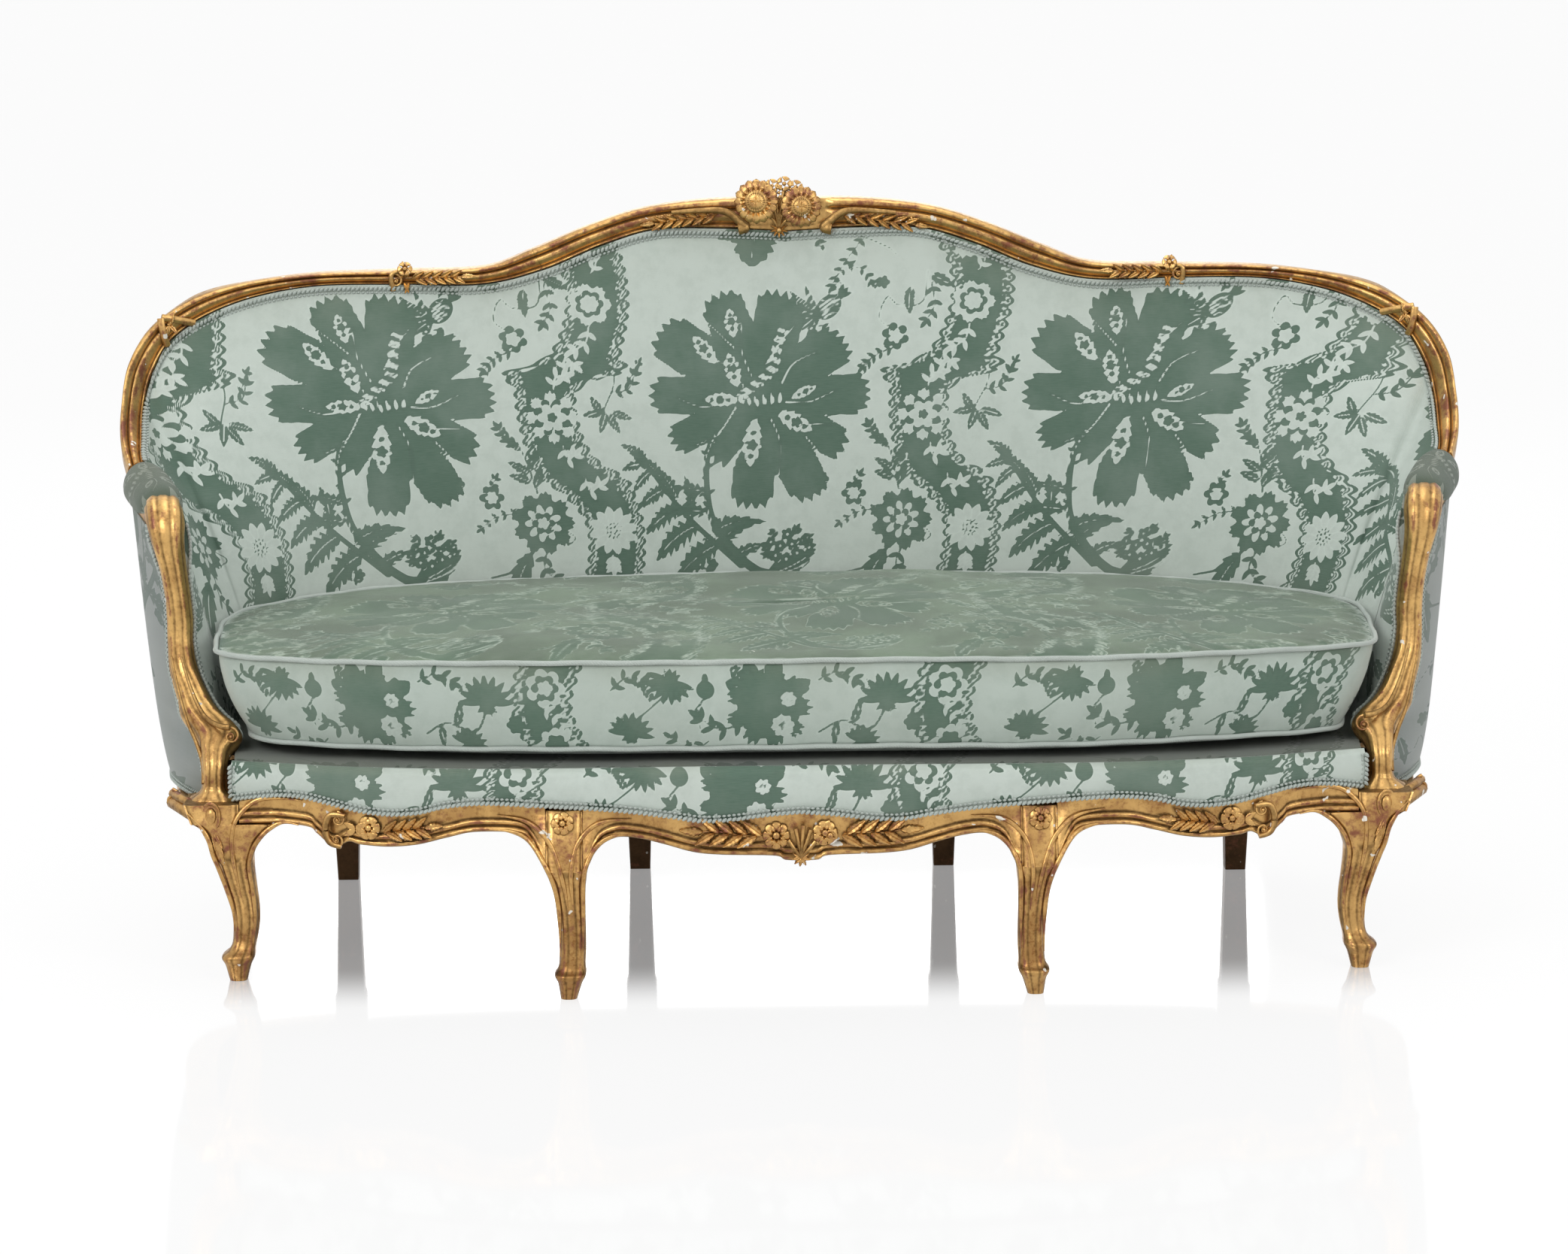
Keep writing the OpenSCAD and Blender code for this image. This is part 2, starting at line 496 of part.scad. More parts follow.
// Arm support: a swept bar that widens to a volute near its foot and to a scroll at its top
support_foot_z = outer_leg_share[0][0] * rail_top_h;
support_top_z = arm_top_share * crest_h;
support_line = [for (p = arm_support_share) concat(times([p[1], p[2]], plan_scale),
    [lerp(support_foot_z, support_top_z, p[0]), p[3] * frame_t, p[4] * frame_t])];
support_curve = curve(support_line, fine);
function support_way(i) = let (
    last = len(support_curve) - 1,
    step = support_curve[min(i + 1, last)] - support_curve[max(i - 1, 0)]
) i == 0 ? [0, 0, 1] : i == last ? [0, 1, 0] : unit([0, step[1], step[2]]);
// An eight-sided section, c of the way to square corners
function octagon(a, b, c) = [[a, c * b], [c * a, b], [-c * a, b], [-a, c * b], [-a, -c * b], [-c * a, -b],
    [c * a, -b], [a, -c * b]];
support_square_share = 0.6;
module arm_support_right() color(gold) loft([for (i = [0 : len(support_curve) - 1]) let (
    p = support_curve[i], way = support_way(i), side = [0, way[2], -way[1]]
) [for (q = octagon(p[3], p[4], support_square_share)) [p[0] + q[0], p[1], p[2]] + side * q[1]]]);
module arm_support_left() on_left() arm_support_right();

// Legs
module leg(sections, square) loft([for (s = sections) [
    for (q = octagon((s[2] - s[1]) / 2 * half_w, (s[4] - s[3]) / 2 * half_d, square))
        [(s[1] + s[2]) / 2 * half_w + q[0], (s[3] + s[4]) / 2 * half_d + q[1], s[0] * rail_top_h]
]]);
module front_leg_outer_right() color(gold) leg(outer_leg_share, leg_square_share);
module front_leg_outer_left() on_left() front_leg_outer_right();
module front_leg_inner_right() color(gold) leg(inner_leg_share, leg_square_share);
module front_leg_inner_left() on_left() front_leg_inner_right();
// A rear leg: a square head, a step below the rail and a tapered, raked shank
rear_step_share = 0.60;
module rear_leg(head) color(gold) {
    x = head[0] * half_w;
    y = head[1] * half_d;
    rake = rear_rake_share * half_d;
    step_z = rear_step_share * rail_top_h;
    neck_w = lerp(rear_foot_w, rear_head_w, 0.7);
    loft([for (s = [
        [rail_top_h, rear_head_w, rear_head_t, 0], [step_z, rear_head_w, rear_head_t, 0],
        [step_z - (rear_head_w - neck_w), neck_w, neck_w * rear_head_t / rear_head_w, rake * 0.1],
        [0, rear_foot_w, rear_foot_w, rake]
    ]) [for (q = octagon(s[1] / 2, s[2] / 2, 0.9)) [x + q[0], y + s[3] + q[1], s[0]]]]);
}
module rear_leg_outer_right() rear_leg(rear_outer_head_share);
module rear_leg_outer_left() on_left() rear_leg_outer_right();
module rear_leg_inner_right() rear_leg(rear_inner_head_share);
module rear_leg_inner_left() on_left() rear_leg_inner_right();

// Rails. A band of rail thickness follows a plan, and an outline seen from the front trims it.
function plan_normal(p, i) = let (t = unit(p[min(i + 1, len(p) - 1)] - p[max(i - 1, 0)])) [-t[1], t[0]];
function inset(p, d) = [for (i = [0 : len(p) - 1]) p[i] - plan_normal(p, i) * d];
function whole(p) = concat(mirrored(p), [for (i = [1 : len(p) - 1]) p[i]]);
module side_band(outer, inner)
    polygon(concat(whole(inset(rail_plan, outer)), reversed(whole(inset(rail_plan, inner)))));
module front_band(front, back) polygon(concat(
    [for (p = whole(front_plan)) [p[0], p[1] + front]],
    [for (p = reversed(whole(front_plan))) [p[0], p[1] + back]]
));
module as_seen_from_front() rotate([90, 0, 0]) linear_extrude(sofa_d, center = true) children();
module as_seen_from_side() rotate([90, 0, 90]) linear_extrude(sofa_w, center = true) children();
// The gilt face ends at the rail line, and above it the rail steps back behind the border's cloth
module above_rail_line(lift, top)
    polygon(concat([for (p = whole(rail_line)) [p[0], p[1] + lift]], [[half_w, top], [-half_w, top]]));
module front_rail(edge, ends) color(gold) difference() {
    intersection() {
        linear_extrude(rail_top_h) front_band(0, rail_t);
        as_seen_from_front() intersection() {
            polygon(concat(edge, [[ends[1], rail_top_h], [ends[0], rail_top_h]]));
            translate([ends[0], 0]) square([ends[1] - ends[0], rail_top_h]);
        }
    }
    intersection() {
        linear_extrude(rail_top_h + overrun) front_band(-overrun, border_step);
        as_seen_from_front() above_rail_line(0, rail_top_h + overrun);
    }
}
module front_rail_center() front_rail(whole(curve(scaled(center_edge_share, rail_scale), fine)),
    [-inner_head_share[0] * half_w, inner_head_share[0] * half_w]);
module front_rail_right() front_rail(curve(scaled(bay_edge_share, rail_scale), fine),
    [inner_head_share[1] * half_w, corner_head_x]);
module front_rail_left() on_left() front_rail_right();

// Side and rear rails step in by the cloth where the outside cover laps them
lap_step = cloth_t + gap * 2;
module plain_rail(height, from, to) linear_extrude(height) intersection() {
    children();
    translate(from) square(to - from);
}
module lapped_rail(foot, from, to) color(gold) union() {
    translate([0, 0, foot]) plain_rail(cover_foot_h - gap - foot, from, to) side_band(0, rail_t);
    translate([0, 0, cover_foot_h - gap])
        plain_rail(rail_top_h - cover_foot_h + gap, from, to) side_band(lap_step, rail_t);
}
rear_outer_x = rear_outer_head_share[0] * half_w;
rear_inner_x = rear_inner_head_share[0] * half_w;
side_edge = curve(scaled(side_edge_share, [half_d, rail_top_h]), fine);
module side_rail_right() color(gold) intersection() {
    lapped_rail(0, [rear_outer_x + rear_head_w / 2, corner_back_y], [sofa_w, sofa_d]);
    as_seen_from_side() polygon(concat(side_edge, [[half_d, rail_top_h], [-half_d, rail_top_h]]));
}
module side_rail_left() on_left() side_rail_right();
rear_foot_z = rail_top_h - rear_rail_h;
module rear_rail_center() lapped_rail(
    rear_foot_z, [-rear_inner_x + rear_head_w / 2, 0], [rear_inner_x - rear_head_w / 2, sofa_d]);
module rear_rail_right() lapped_rail(
    rear_foot_z, [rear_inner_x + rear_head_w / 2, 0], [rear_outer_x - rear_head_w / 2, sofa_d]);
module rear_rail_left() on_left() rear_rail_right();

// Cross rails run from the inner front legs to the rear inner legs, below the webbing
cross_drop = 4;
module cross_outline(grow) {
    front = [total(inner_head_share) / 2 * half_w, inner_leg_share[0][4] * half_d + gap - grow];
    back = [rear_inner_x, rear_inner_head_share[1] * half_d - rear_head_t / 2 - gap + grow];
    h = cross_rail_w / 2 + grow;
    polygon([front - [h, 0], front + [h, 0], back + [h, 0], back - [h, 0]]);
}
module seat_cross_rail_right() color(beech) difference() {
    translate([0, 0, rear_foot_z]) linear_extrude(rear_rail_h - cross_drop) cross_outline(0);
    linear_extrude(rail_top_h) front_band(0, rail_t + gap);
}
module seat_cross_rail_left() on_left() seat_cross_rail_right();

// The space inside the rails, d away from them, without the heads of the legs
corner_plan = [corner_head_x, corner_back_y];
module leg_heads(grow) for (side = [0, 1]) mirror([side, 0]) {
    for (head = [rear_outer_head_share, rear_inner_head_share])
        translate([head[0] * half_w - rear_head_w / 2 - grow, head[1] * half_d - rear_head_t / 2 - grow])
            square([rear_head_w + grow * 2, rear_head_t + grow * 2]);
    translate([outer_leg_share[3][1] * half_w - grow, -sofa_d])
        square([half_w, sofa_d + corner_back_y + grow]);
    translate([inner_head_share[0] * half_w - grow, -sofa_d])
        square([(inner_head_share[1] - inner_head_share[0]) * half_w + grow * 2,
            sofa_d + inner_leg_share[0][4] * half_d + grow]);
}
module inside_rails(d) difference() {
    intersection() {
        front_band(rail_t + d, sofa_d);
        polygon(concat(whole(inset(rail_plan, rail_t + d)),
            [[corner_head_x, -half_d], [-corner_head_x, -half_d]]));
    }
    leg_heads(d);
}
// Corner blocks, glued into the angles between legs and rails
block_places = [
    [corner_head_x, corner_back_y], [total(inner_head_share) / 2 * half_w, inner_leg_share[0][4] * half_d],
    [rear_inner_x, outer_foot_share[0][1] * half_d - rail_t],
    [rear_outer_x, rear_outer_head_share[1] * half_d - rear_head_t / 2]
];
module corner_blocks() color(beech) translate([0, 0, rail_top_h - cross_drop - block_h])
    linear_extrude(block_h) difference() {
        intersection() {
            inside_rails(gap);
            for (side = [0, 1], p = block_places) mirror([side, 0]) translate(p) rotate(45)
                square(block_leg * sqrt(2), center = true);
        }
        for (side = [0, 1]) mirror([side, 0]) cross_outline(gap);
    }

// Seat: webbing both ways, stuffing, cover and border
strap_x_share = [0, 0.13, 0.44, 0.61];
// Places and ends of the straps across
cross_strap_share = [[-0.55, 0.765], [-0.28, 0.885], [0, 0.90], [0.28, 0.885]];
web_foot = [for (i = [0 : len(inner_foot) - 1]) lerp(inner_foot[i], outer_foot[i], upright_web_share[0])];
function deck_back(x) = height_at(inner_foot, abs(x));
module seat_webbing() color(jute) {
    for (s = strap_x_share, side = s == 0 ? [0] : [0, 1]) mirror([side, 0, 0]) {
        x = s * half_w;
        front = height_at(front_plan, x + web_w / 2) + border_step + gap * 3;
        back = height_at(web_foot, x + web_w / 2) - gap * 3;
        translate([x - web_w / 2, front, rail_top_h]) cube([web_w, back - front, web_t]);
    }
    for (s = cross_strap_share) translate([-s[1] * half_w, s[0] * half_d - web_w / 2, rail_top_h + web_t])
        cube([2 * s[1] * half_w, web_w, web_t]);
}
// Stations across the seat, and its section at x: flat below, with the front edge rolled
deck_share = [0, 0.12, 0.24, 0.36, 0.48, 0.58, 0.66, 0.72, 0.752, 0.768];
deck_side_y_share = -0.46;
function deck_front(x, back_off) = height_at(front_plan, x) + back_off;
function deck_ring(x, off, inside, z0, z1) = let (f = deck_front(x, off), b = deck_back(x) - inside) [
    [x, f, z0 - droop(x) * (z0 > stuffing_z ? 1 : 0)], [x, f, z1 - droop(x)], [x, b, z1 - droop(x)],
    [x, b, z0 - droop(x) * (z0 > stuffing_z ? 1 : 0)]
];
module seat_stuffing() color(jute) loft(both_sides([
    for (s = deck_share) deck_ring(s * half_w, border_step, gap * 2, stuffing_z, seat_z - cloth_t - gap)
]));
module seat_cover() color(damask) loft(both_sides([
    for (s = deck_share) deck_ring(s * half_w, gap, gap * 2, seat_z - cloth_t, seat_z)
]));
module above_seat(lift) polygon(concat(
    whole([for (s = concat(deck_share, [1])) [s * half_w, seat_z + lift - droop(s * half_w)]]),
    [[half_w, seat_z + overrun], [-half_w, seat_z + overrun]]
));
module beyond_heads() for (side = [0, 1]) mirror([side, 0])
    translate([corner_head_x - gap, 0]) square([half_w, seat_z + overrun]);
// The border's cloth fills the step in the front rail, up to the cover
module seat_border() color(damask) intersection() {
    linear_extrude(seat_z) front_band(gap * 4, border_step - gap);
    as_seen_from_front() difference() {
        above_rail_line(gap, seat_z);
        above_seat(-cloth_t - gap);
        beyond_heads();
    }
}
// Gimp covers the joint of the border with the gilt rail
module border_gimp() color(braid) intersection() {
    linear_extrude(seat_z) front_band(-gimp_t, -gap);
    as_seen_from_front() difference() {
        above_rail_line(-gimp_w / 2, seat_z);
        above_rail_line(gimp_w / 2, seat_z + overrun);
        beyond_heads();
    }
}

// Dust cover under the seat: it laps the rear rails and the cross rails, and tacks hold it there
dust_lap_share = 0.45;
dust_z = rear_foot_z - dust_cover_t;
module dust_cover() color(braid) translate([0, 0, dust_z]) linear_extrude(dust_cover_t) union() {
    inside_rails(gap * 2);
    difference() {
        intersection() {
            polygon(whole(inset(rail_plan, rail_t * dust_lap_share)));
            translate([-rear_outer_x, 0]) square([2 * rear_outer_x, sofa_d]);
        }
        leg_heads(gap * 2);
    }
}
tack_gap_share = 0.11;
rear_tacks = [for (k = [0 : 5], side = [-1, 1]) let (x = (k + 0.5) * tack_gap_share * half_w)
    if (abs(x - rear_inner_x) > rear_head_w) [side * x, height_at(rail_plan, x) - rail_t * 0.75]];
cross_tacks = [for (k = [1 : 4], side = [-1, 1]) let (t = k / 5)
    [side * lerp(total(inner_head_share) / 2 * half_w, rear_inner_x, t),
        lerp(inner_leg_share[0][4], rear_inner_head_share[1], t) * half_d]];
module dust_cover_tacks() color("gray") for (p = concat(rear_tacks, cross_tacks))
    translate([p[0], p[1], dust_z - tack_h]) cylinder(h = tack_h, d1 = tack_d * 0.7, d2 = tack_d, $fn = 6);

// Loose cushion: outlines of its top and bottom seams, from the middle of the front round the right
// side to the middle of the back, as shares of half width and half depth.
top_seam_share = [
    [0, -0.876], [0.166, -0.871], [0.327, -0.856], [0.466, -0.811], [0.601, -0.736], [0.715, -0.642],
    [0.780, -0.567], [0.814, -0.488], [0.823, -0.373], [0.830, -0.149], [0.833, 0.05], [0.825, 0.179],
    [0.806, 0.279], [0.776, 0.348], [0.738, 0.420], [0.687, 0.495], [0.618, 0.565], [0.515, 0.622],
    [0.401, 0.652], [0.206, 0.674], [0, 0.679]
];
bottom_seam_share = [
    [0, -0.871], [0.161, -0.866], [0.317, -0.851], [0.452, -0.806], [0.580, -0.731], [0.688, -0.639],
    [0.742, -0.570], [0.768, -0.498], [0.777, -0.398], [0.790, -0.174], [0.796, 0.012], [0.789, 0.137],
    [0.769, 0.236], [0.739, 0.308], [0.702, 0.373], [0.653, 0.443], [0.587, 0.507], [0.495, 0.567],
    [0.391, 0.600], [0.202, 0.622], [0, 0.627]
];
top_seam = whole_ring(scaled(top_seam_share, plan_scale));
bottom_seam = whole_ring(scaled(bottom_seam_share, plan_scale));
function whole_ring(p) = concat(p, [for (i = [len(p) - 2 : -1 : 1]) [-p[i][0], p[i][1]]]);
function ring_normal(p, i) = let (n = len(p), t = unit(p[(i + 1) % n] - p[(i + n - 1) % n])) [t[1], -t[0]];
// Spine that the top and bottom close in on
spine_y = (top_seam_share[0][1] + top_seam_share[20][1]) / 2 * half_d;
spine_x_share = 0.15;
function toward_spine(p, k) = lerp(p, [p[0] * spine_x_share, spine_y], k);
// Rows of the cushion: how far from the bottom seam to the top one, how far in to the spine, the
// height over the bottom seam in belly or crown depths, and the swell
cushion_rows_share = [
    [0, 0.93, -1, 0], [0, 0.72, -1, 0], [0, 0.46, -1, 0], [0, 0.22, -1, 0], [0, 0.10, -0.72, 0],
    [0, 0.03, -0.30, 0], [0, 0, 0, 0], [0.12, 0, 0, 0.45], [0.35, 0, 0, 0.95], [0.65, 0, 0, 0.95],
    [0.88, 0, 0, 0.45], [1, 0, 0, 0], [1, 0.03, 0.16, 0], [1, 0.10, 0.42, 0], [1, 0.25, 0.72, 0],
    [1, 0.5, 0.94, 0], [1, 0.93, 1, 0]
];
belly_z = seat_z + gap * 1.5;
seam_z = belly_z + belly_h;
function cushion_row(r) = [for (i = [0 : len(top_seam) - 1]) let (
    seam = lerp(bottom_seam[i], top_seam[i], r[0]) + ring_normal(top_seam, i) * border_swell * r[3],
    p = toward_spine(seam, r[1])
) [p[0], p[1], seam_z + border_h * r[0] + r[2] * (r[2] < 0 ? belly_h : crown_h) - droop(p[0])]];
module seat_cushion() color(velvet) loft([for (r = cushion_rows_share) cushion_row(r)]);
module welt(seam, z) color(braid) ring_loft([for (i = [0 : len(seam) - 1]) let (
    n = ring_normal(seam, i), out = welt_d / 2 + gap * 2
) [for (a = [0 : 60 : 300]) let (q = out + welt_d / 2 * cos(a), p = seam[i] + n * q)
    [p[0], p[1], z + welt_d / 2 * sin(a) - droop(seam[i][0])]]]);
module cushion_welt_top() welt(top_seam, seam_z + border_h);
module cushion_welt_bottom() welt(bottom_seam, seam_z);

// Carving. A band of the carving's depth follows the rail, and outlines seen from the front trim it.
leaf_share = [[0, 0], [0.42, 0.26], [1, 0], [0.42, -0.26]];
leaf_turn = 24;
module leaf(l) polygon(scaled(leaf_share, [l, l]));
// A spray of leaves in pairs along a stem
module spray(l, size) {
    count = round(l / size * 0.7);
    step = (l - size) / count;
    for (k = [0 : count - 1], side = [-1, 1]) translate([step * k, 0]) rotate(side * leaf_turn) leaf(size);
    translate([step * count, 0]) leaf(size);
    translate([0, -size * 0.07]) square([step * (count + 0.5), size * 0.14]);
}
module flower(r, petals) {
    circle(r * 0.7, $fn = 6);
    for (k = [0 : petals - 1]) rotate(360 / petals * k) translate([r * 0.72, 0]) circle(r * 0.28, $fn = 5);
}
// The end of a C-scroll, and a stem from one point to another
module scroll(r) difference() {
    circle(r, $fn = 10);
    circle(r * 0.5, $fn = 5);
}
module stem(from, to, w) let (n = unit([from[1] - to[1], to[0] - from[0]]) * w / 2)
    polygon([from + n, to + n, to - n, from - n]);
crest_scale = [half_w, crest_h];
rim_front = [for (i = [0 : shoulder_end * fine]) [rim[i][0], rim[i][1]]];
sight_front = [for (i = [0 : shoulder_end * fine]) [sight[i][0], sight[i][2]]];
module crest_band(depth) linear_extrude(crest_h + crest_carving_rise) polygon(concat(
    [for (p = whole(rim_front)) [p[0], p[1] - depth - gap]],
    [for (p = reversed(whole(rim_front))) [p[0], p[1] - gap]]
));
// Outlines stay above the sight edge, clear of the cloth
module above_sight() difference() {
    children();
    polygon(concat([for (p = whole(sight_front)) [p[0], p[1] + gap]], [[half_w, 0], [-half_w, 0]]));
}
sunflower_share = [[-0.047, 0.998], [0.020, 0.990]];
bunch_share = [-0.018, -0.002, 0.014];
bunch_r = sunflower_r * 0.38;
fan_share = [-0.012, 0.957];
crest_scroll_share = [[-0.070, 0.975], [0.062, 0.973]];
crest_spray_share = [[-0.095, 0.979, 186], [0.088, 0.976, -7]];
module crest_carving() color(gold) union() {
    intersection() {
        crest_band(crest_carving_t);
        as_seen_from_front() above_sight() {
            for (s = sunflower_share) translate(times(s, crest_scale)) flower(sunflower_r, 11);
            for (s = bunch_share) translate([s * half_w, crest_h + crest_carving_rise - bunch_r])
                circle(bunch_r, $fn = 7);
            for (s = concat(sunflower_share, [[bunch_share[1], 1.01]]))
                stem(times(fan_share, crest_scale), times(s, crest_scale), bunch_r);
            translate(times(fan_share, crest_scale)) circle(bunch_r, $fn = 7);
        }
    }
    intersection() {
        crest_band(crest_carving_t * 0.5);
        as_seen_from_front() above_sight() {
            for (s = crest_scroll_share) translate(times(s, crest_scale)) scroll(sunflower_r * 0.62);
            for (s = crest_spray_share)
                translate(times(s, crest_scale)) rotate(s[2]) spray(spray_l, spray_l * 0.24);
        }
    }
}
// Shoulder clasps: a bud over the rail, a curl and a spray towards the middle
clasp_share = [0.580, 0.892];
module shoulder_clasps() color(gold) intersection() {
    crest_band(rail_carving_t);
    as_seen_from_front() above_sight() for (side = [0, 1]) mirror([side, 0])
        translate(times(clasp_share, crest_scale)) {
            flower(rail_flower_r * 0.9, 6);
            translate([rail_flower_r * 1.2, 0]) scroll(rail_flower_r * 0.55);
            rotate(90) leaf(rail_flower_r * 1.9);
            rotate(180) spray(spray_l * 0.75, spray_l * 0.2);
        }
}
// Front rail: two flowers over a fan of stems in the middle, and a scroll and a flower in each bay
middle_flower_share = [[-0.035, 0.782], [0.032, 0.788]];
middle_fan_share = [0, 0.700];
middle_spray_share = [[-0.066, 0.776, 177], [0.066, 0.778, 3]];
bay_flower_share = [0.601, 0.795];
bay_scroll_share = [[0.645, 0.83], [0.648, 0.765]];
bay_spray_share = [0.577, 0.782, 172];
module middle_carving() {
    for (s = middle_flower_share) translate(times(s, rail_scale)) flower(rail_flower_r * 0.95, 6);
    for (s = middle_flower_share) stem(times(middle_fan_share, rail_scale), times(s, rail_scale), bunch_r);
    translate(times(middle_fan_share, rail_scale)) circle(bunch_r, $fn = 7);
    for (s = middle_spray_share)
        translate(times(s, rail_scale)) rotate(s[2]) spray(spray_l * 0.9, spray_l * 0.19);
}
module bay_carving() {
    translate(times(bay_flower_share, rail_scale)) flower(rail_flower_r * 0.85, 6);
    for (s = bay_scroll_share) translate(times(s, rail_scale)) scroll(rail_flower_r * 0.6);
    stem(times(bay_scroll_share[0], rail_scale), times(bay_flower_share, rail_scale), bunch_r);
    translate(times(bay_spray_share, rail_scale)) rotate(bay_spray_share[2])
        spray(spray_l * 0.7, spray_l * 0.18);
}
module front_rail_carving() color(gold) intersection() {
    linear_extrude(rail_top_h) front_band(-rail_carving_t - gap, -gap);
    as_seen_from_front() difference() {
        union() {
            middle_carving();
            for (side = [0, 1]) mirror([side, 0]) bay_carving();
        }
        above_rail_line(-gimp_w / 2 - gap, sofa_d);
    }
}
// A flower on each inner knee, flat on the sloping face of the leg's head
knee_share = [[0.885, -0.934], [0.76, -0.972]];
knee_middle = [total([for (k = knee_share) k[1]]) / 2 * half_d - gap,
    total([for (k = knee_share) k[0]]) / 2 * rail_top_h];
knee_rise = (knee_share[0][0] - knee_share[1][0]) * rail_top_h;
knee_slope = atan((knee_share[0][1] - knee_share[1][1]) * half_d / knee_rise);
module knee_carvings() color(gold) for (side = [0, 1]) mirror([side, 0, 0])
    translate(concat([total(inner_head_share) / 2 * half_w], knee_middle)) rotate([90 - knee_slope, 0, 0])
        linear_extrude(rail_carving_t * 0.8) flower(rail_flower_r * 0.78, 6);

front_leg_outer_left();
front_leg_outer_right();
front_leg_inner_left();
front_leg_inner_right();
rear_leg_outer_left();
rear_leg_outer_right();
rear_leg_inner_left();
rear_leg_inner_right();
front_rail_left();
front_rail_center();
front_rail_right();
side_rail_left();
side_rail_right();
rear_rail_left();
rear_rail_center();
rear_rail_right();
seat_cross_rail_left();
seat_cross_rail_right();
corner_blocks();
crest_rail();
shoulder_rail_left();
shoulder_rail_right();
back_stile_left();
back_stile_right();
arm_rail_left();
arm_rail_right();
arm_support_left();
arm_support_right();
back_post_inner_left();
back_post_inner_right();
back_post_outer_left();
back_post_outer_right();
lower_back_rails();
crest_carving();
shoulder_clasps();
front_rail_carving();
knee_carvings();
seat_webbing();
seat_stuffing();
seat_cover();
seat_border();
back_webbing();
back_upholstery();
back_outside_cover();
arm_inside_left();
arm_inside_right();
arm_outside_left();
arm_outside_right();
arm_pad_left();
arm_pad_right();
border_gimp();
dust_cover();
dust_cover_tacks();
seat_cushion();
cushion_welt_top();
cushion_welt_bottom();
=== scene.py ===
"""Cabriole sofa: carved giltwood frame, damask upholstery and one loose seat cushion.

Everything is in metres, with the floor at z = 0 and the sofa facing -Y. Left and right are as seen
from the front. Left-hand pieces are the right-hand ones turned over in the middle plane.
"""

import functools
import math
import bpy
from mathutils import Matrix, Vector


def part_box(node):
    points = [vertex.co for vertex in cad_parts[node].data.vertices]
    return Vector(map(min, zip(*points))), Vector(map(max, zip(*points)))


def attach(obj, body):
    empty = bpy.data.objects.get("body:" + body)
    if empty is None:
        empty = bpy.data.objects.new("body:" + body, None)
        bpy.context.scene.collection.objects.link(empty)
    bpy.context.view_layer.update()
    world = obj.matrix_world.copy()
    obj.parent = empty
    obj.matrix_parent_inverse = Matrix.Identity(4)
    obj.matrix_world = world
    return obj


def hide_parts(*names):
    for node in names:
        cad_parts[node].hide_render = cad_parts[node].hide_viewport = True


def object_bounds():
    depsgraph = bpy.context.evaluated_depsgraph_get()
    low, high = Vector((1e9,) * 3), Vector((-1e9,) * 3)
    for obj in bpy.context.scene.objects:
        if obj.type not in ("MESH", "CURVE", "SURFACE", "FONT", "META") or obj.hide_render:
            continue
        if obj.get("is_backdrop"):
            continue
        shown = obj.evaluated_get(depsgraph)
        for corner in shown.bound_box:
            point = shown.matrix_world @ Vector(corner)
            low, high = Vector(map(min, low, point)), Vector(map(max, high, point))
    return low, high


bl_info = {
    "name": "Cabriole Sofa",
    "version": (1, 0, 0),
    "blender": (4, 5, 0),
    "location": "View3D > Sidebar > Sofa",
    "description": "Builds the carved frame, upholstery and cushion of a cabriole sofa over its frame model",
    "category": "Object",
}

import bpy
import numpy as np
from bpy.props import FloatProperty, FloatVectorProperty
from mathutils import Matrix, Vector

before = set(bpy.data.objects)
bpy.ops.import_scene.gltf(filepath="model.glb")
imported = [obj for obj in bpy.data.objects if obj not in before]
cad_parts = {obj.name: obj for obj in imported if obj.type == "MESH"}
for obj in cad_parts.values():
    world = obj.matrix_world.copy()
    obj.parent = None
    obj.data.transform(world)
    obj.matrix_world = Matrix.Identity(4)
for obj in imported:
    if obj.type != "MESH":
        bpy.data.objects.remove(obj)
cad_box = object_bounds()

# Half the width, half the depth, height of the crest rail and of the seat rails
HALF = np.array([0.965, 0.402, 1.003])
RAIL_TOP = 0.290
FRAME_T = 0.036
RAIL_T = 0.045
GAP = 0.0003
CREST = HALF
PLAN = HALF[:2]
RAIL = np.array([HALF[0], RAIL_TOP])

# Stations from the middle of the crest to the front of the arm: outer and inner edge of the moulding
RIM = np.array([
    [0, .910, 1], [.114, .908, .999], [.216, .903, .988], [.302, .896, .963], [.389, .886, .929],
    [.466, .876, .904], [.591, .851, .901], [.715, .811, .900], [.819, .751, .891], [.897, .664, .871],
    [.953, .570, .837], [.985, .480, .790], [.997, .428, .733], [.994, .333, .688], [.979, .234, .653],
    [.969, .109, .638], [.948, -.040, .628], [.931, -.164, .623]]) * CREST
SIGHT = np.array([
    [0, .910, .952], [.109, .908, .957], [.202, .903, .956], [.285, .896, .933], [.373, .888, .899],
    [.466, .876, .879], [.585, .853, .881], [.713, .811, .882], [.808, .756, .869], [.879, .692, .845],
    [.928, .617, .814], [.955, .567, .770], [.967, .527, .726], [.964, .396, .690], [.956, .259, .662],
    [.925, .109, .648], [.902, -.040, .638], [.883, -.164, .630]]) * CREST
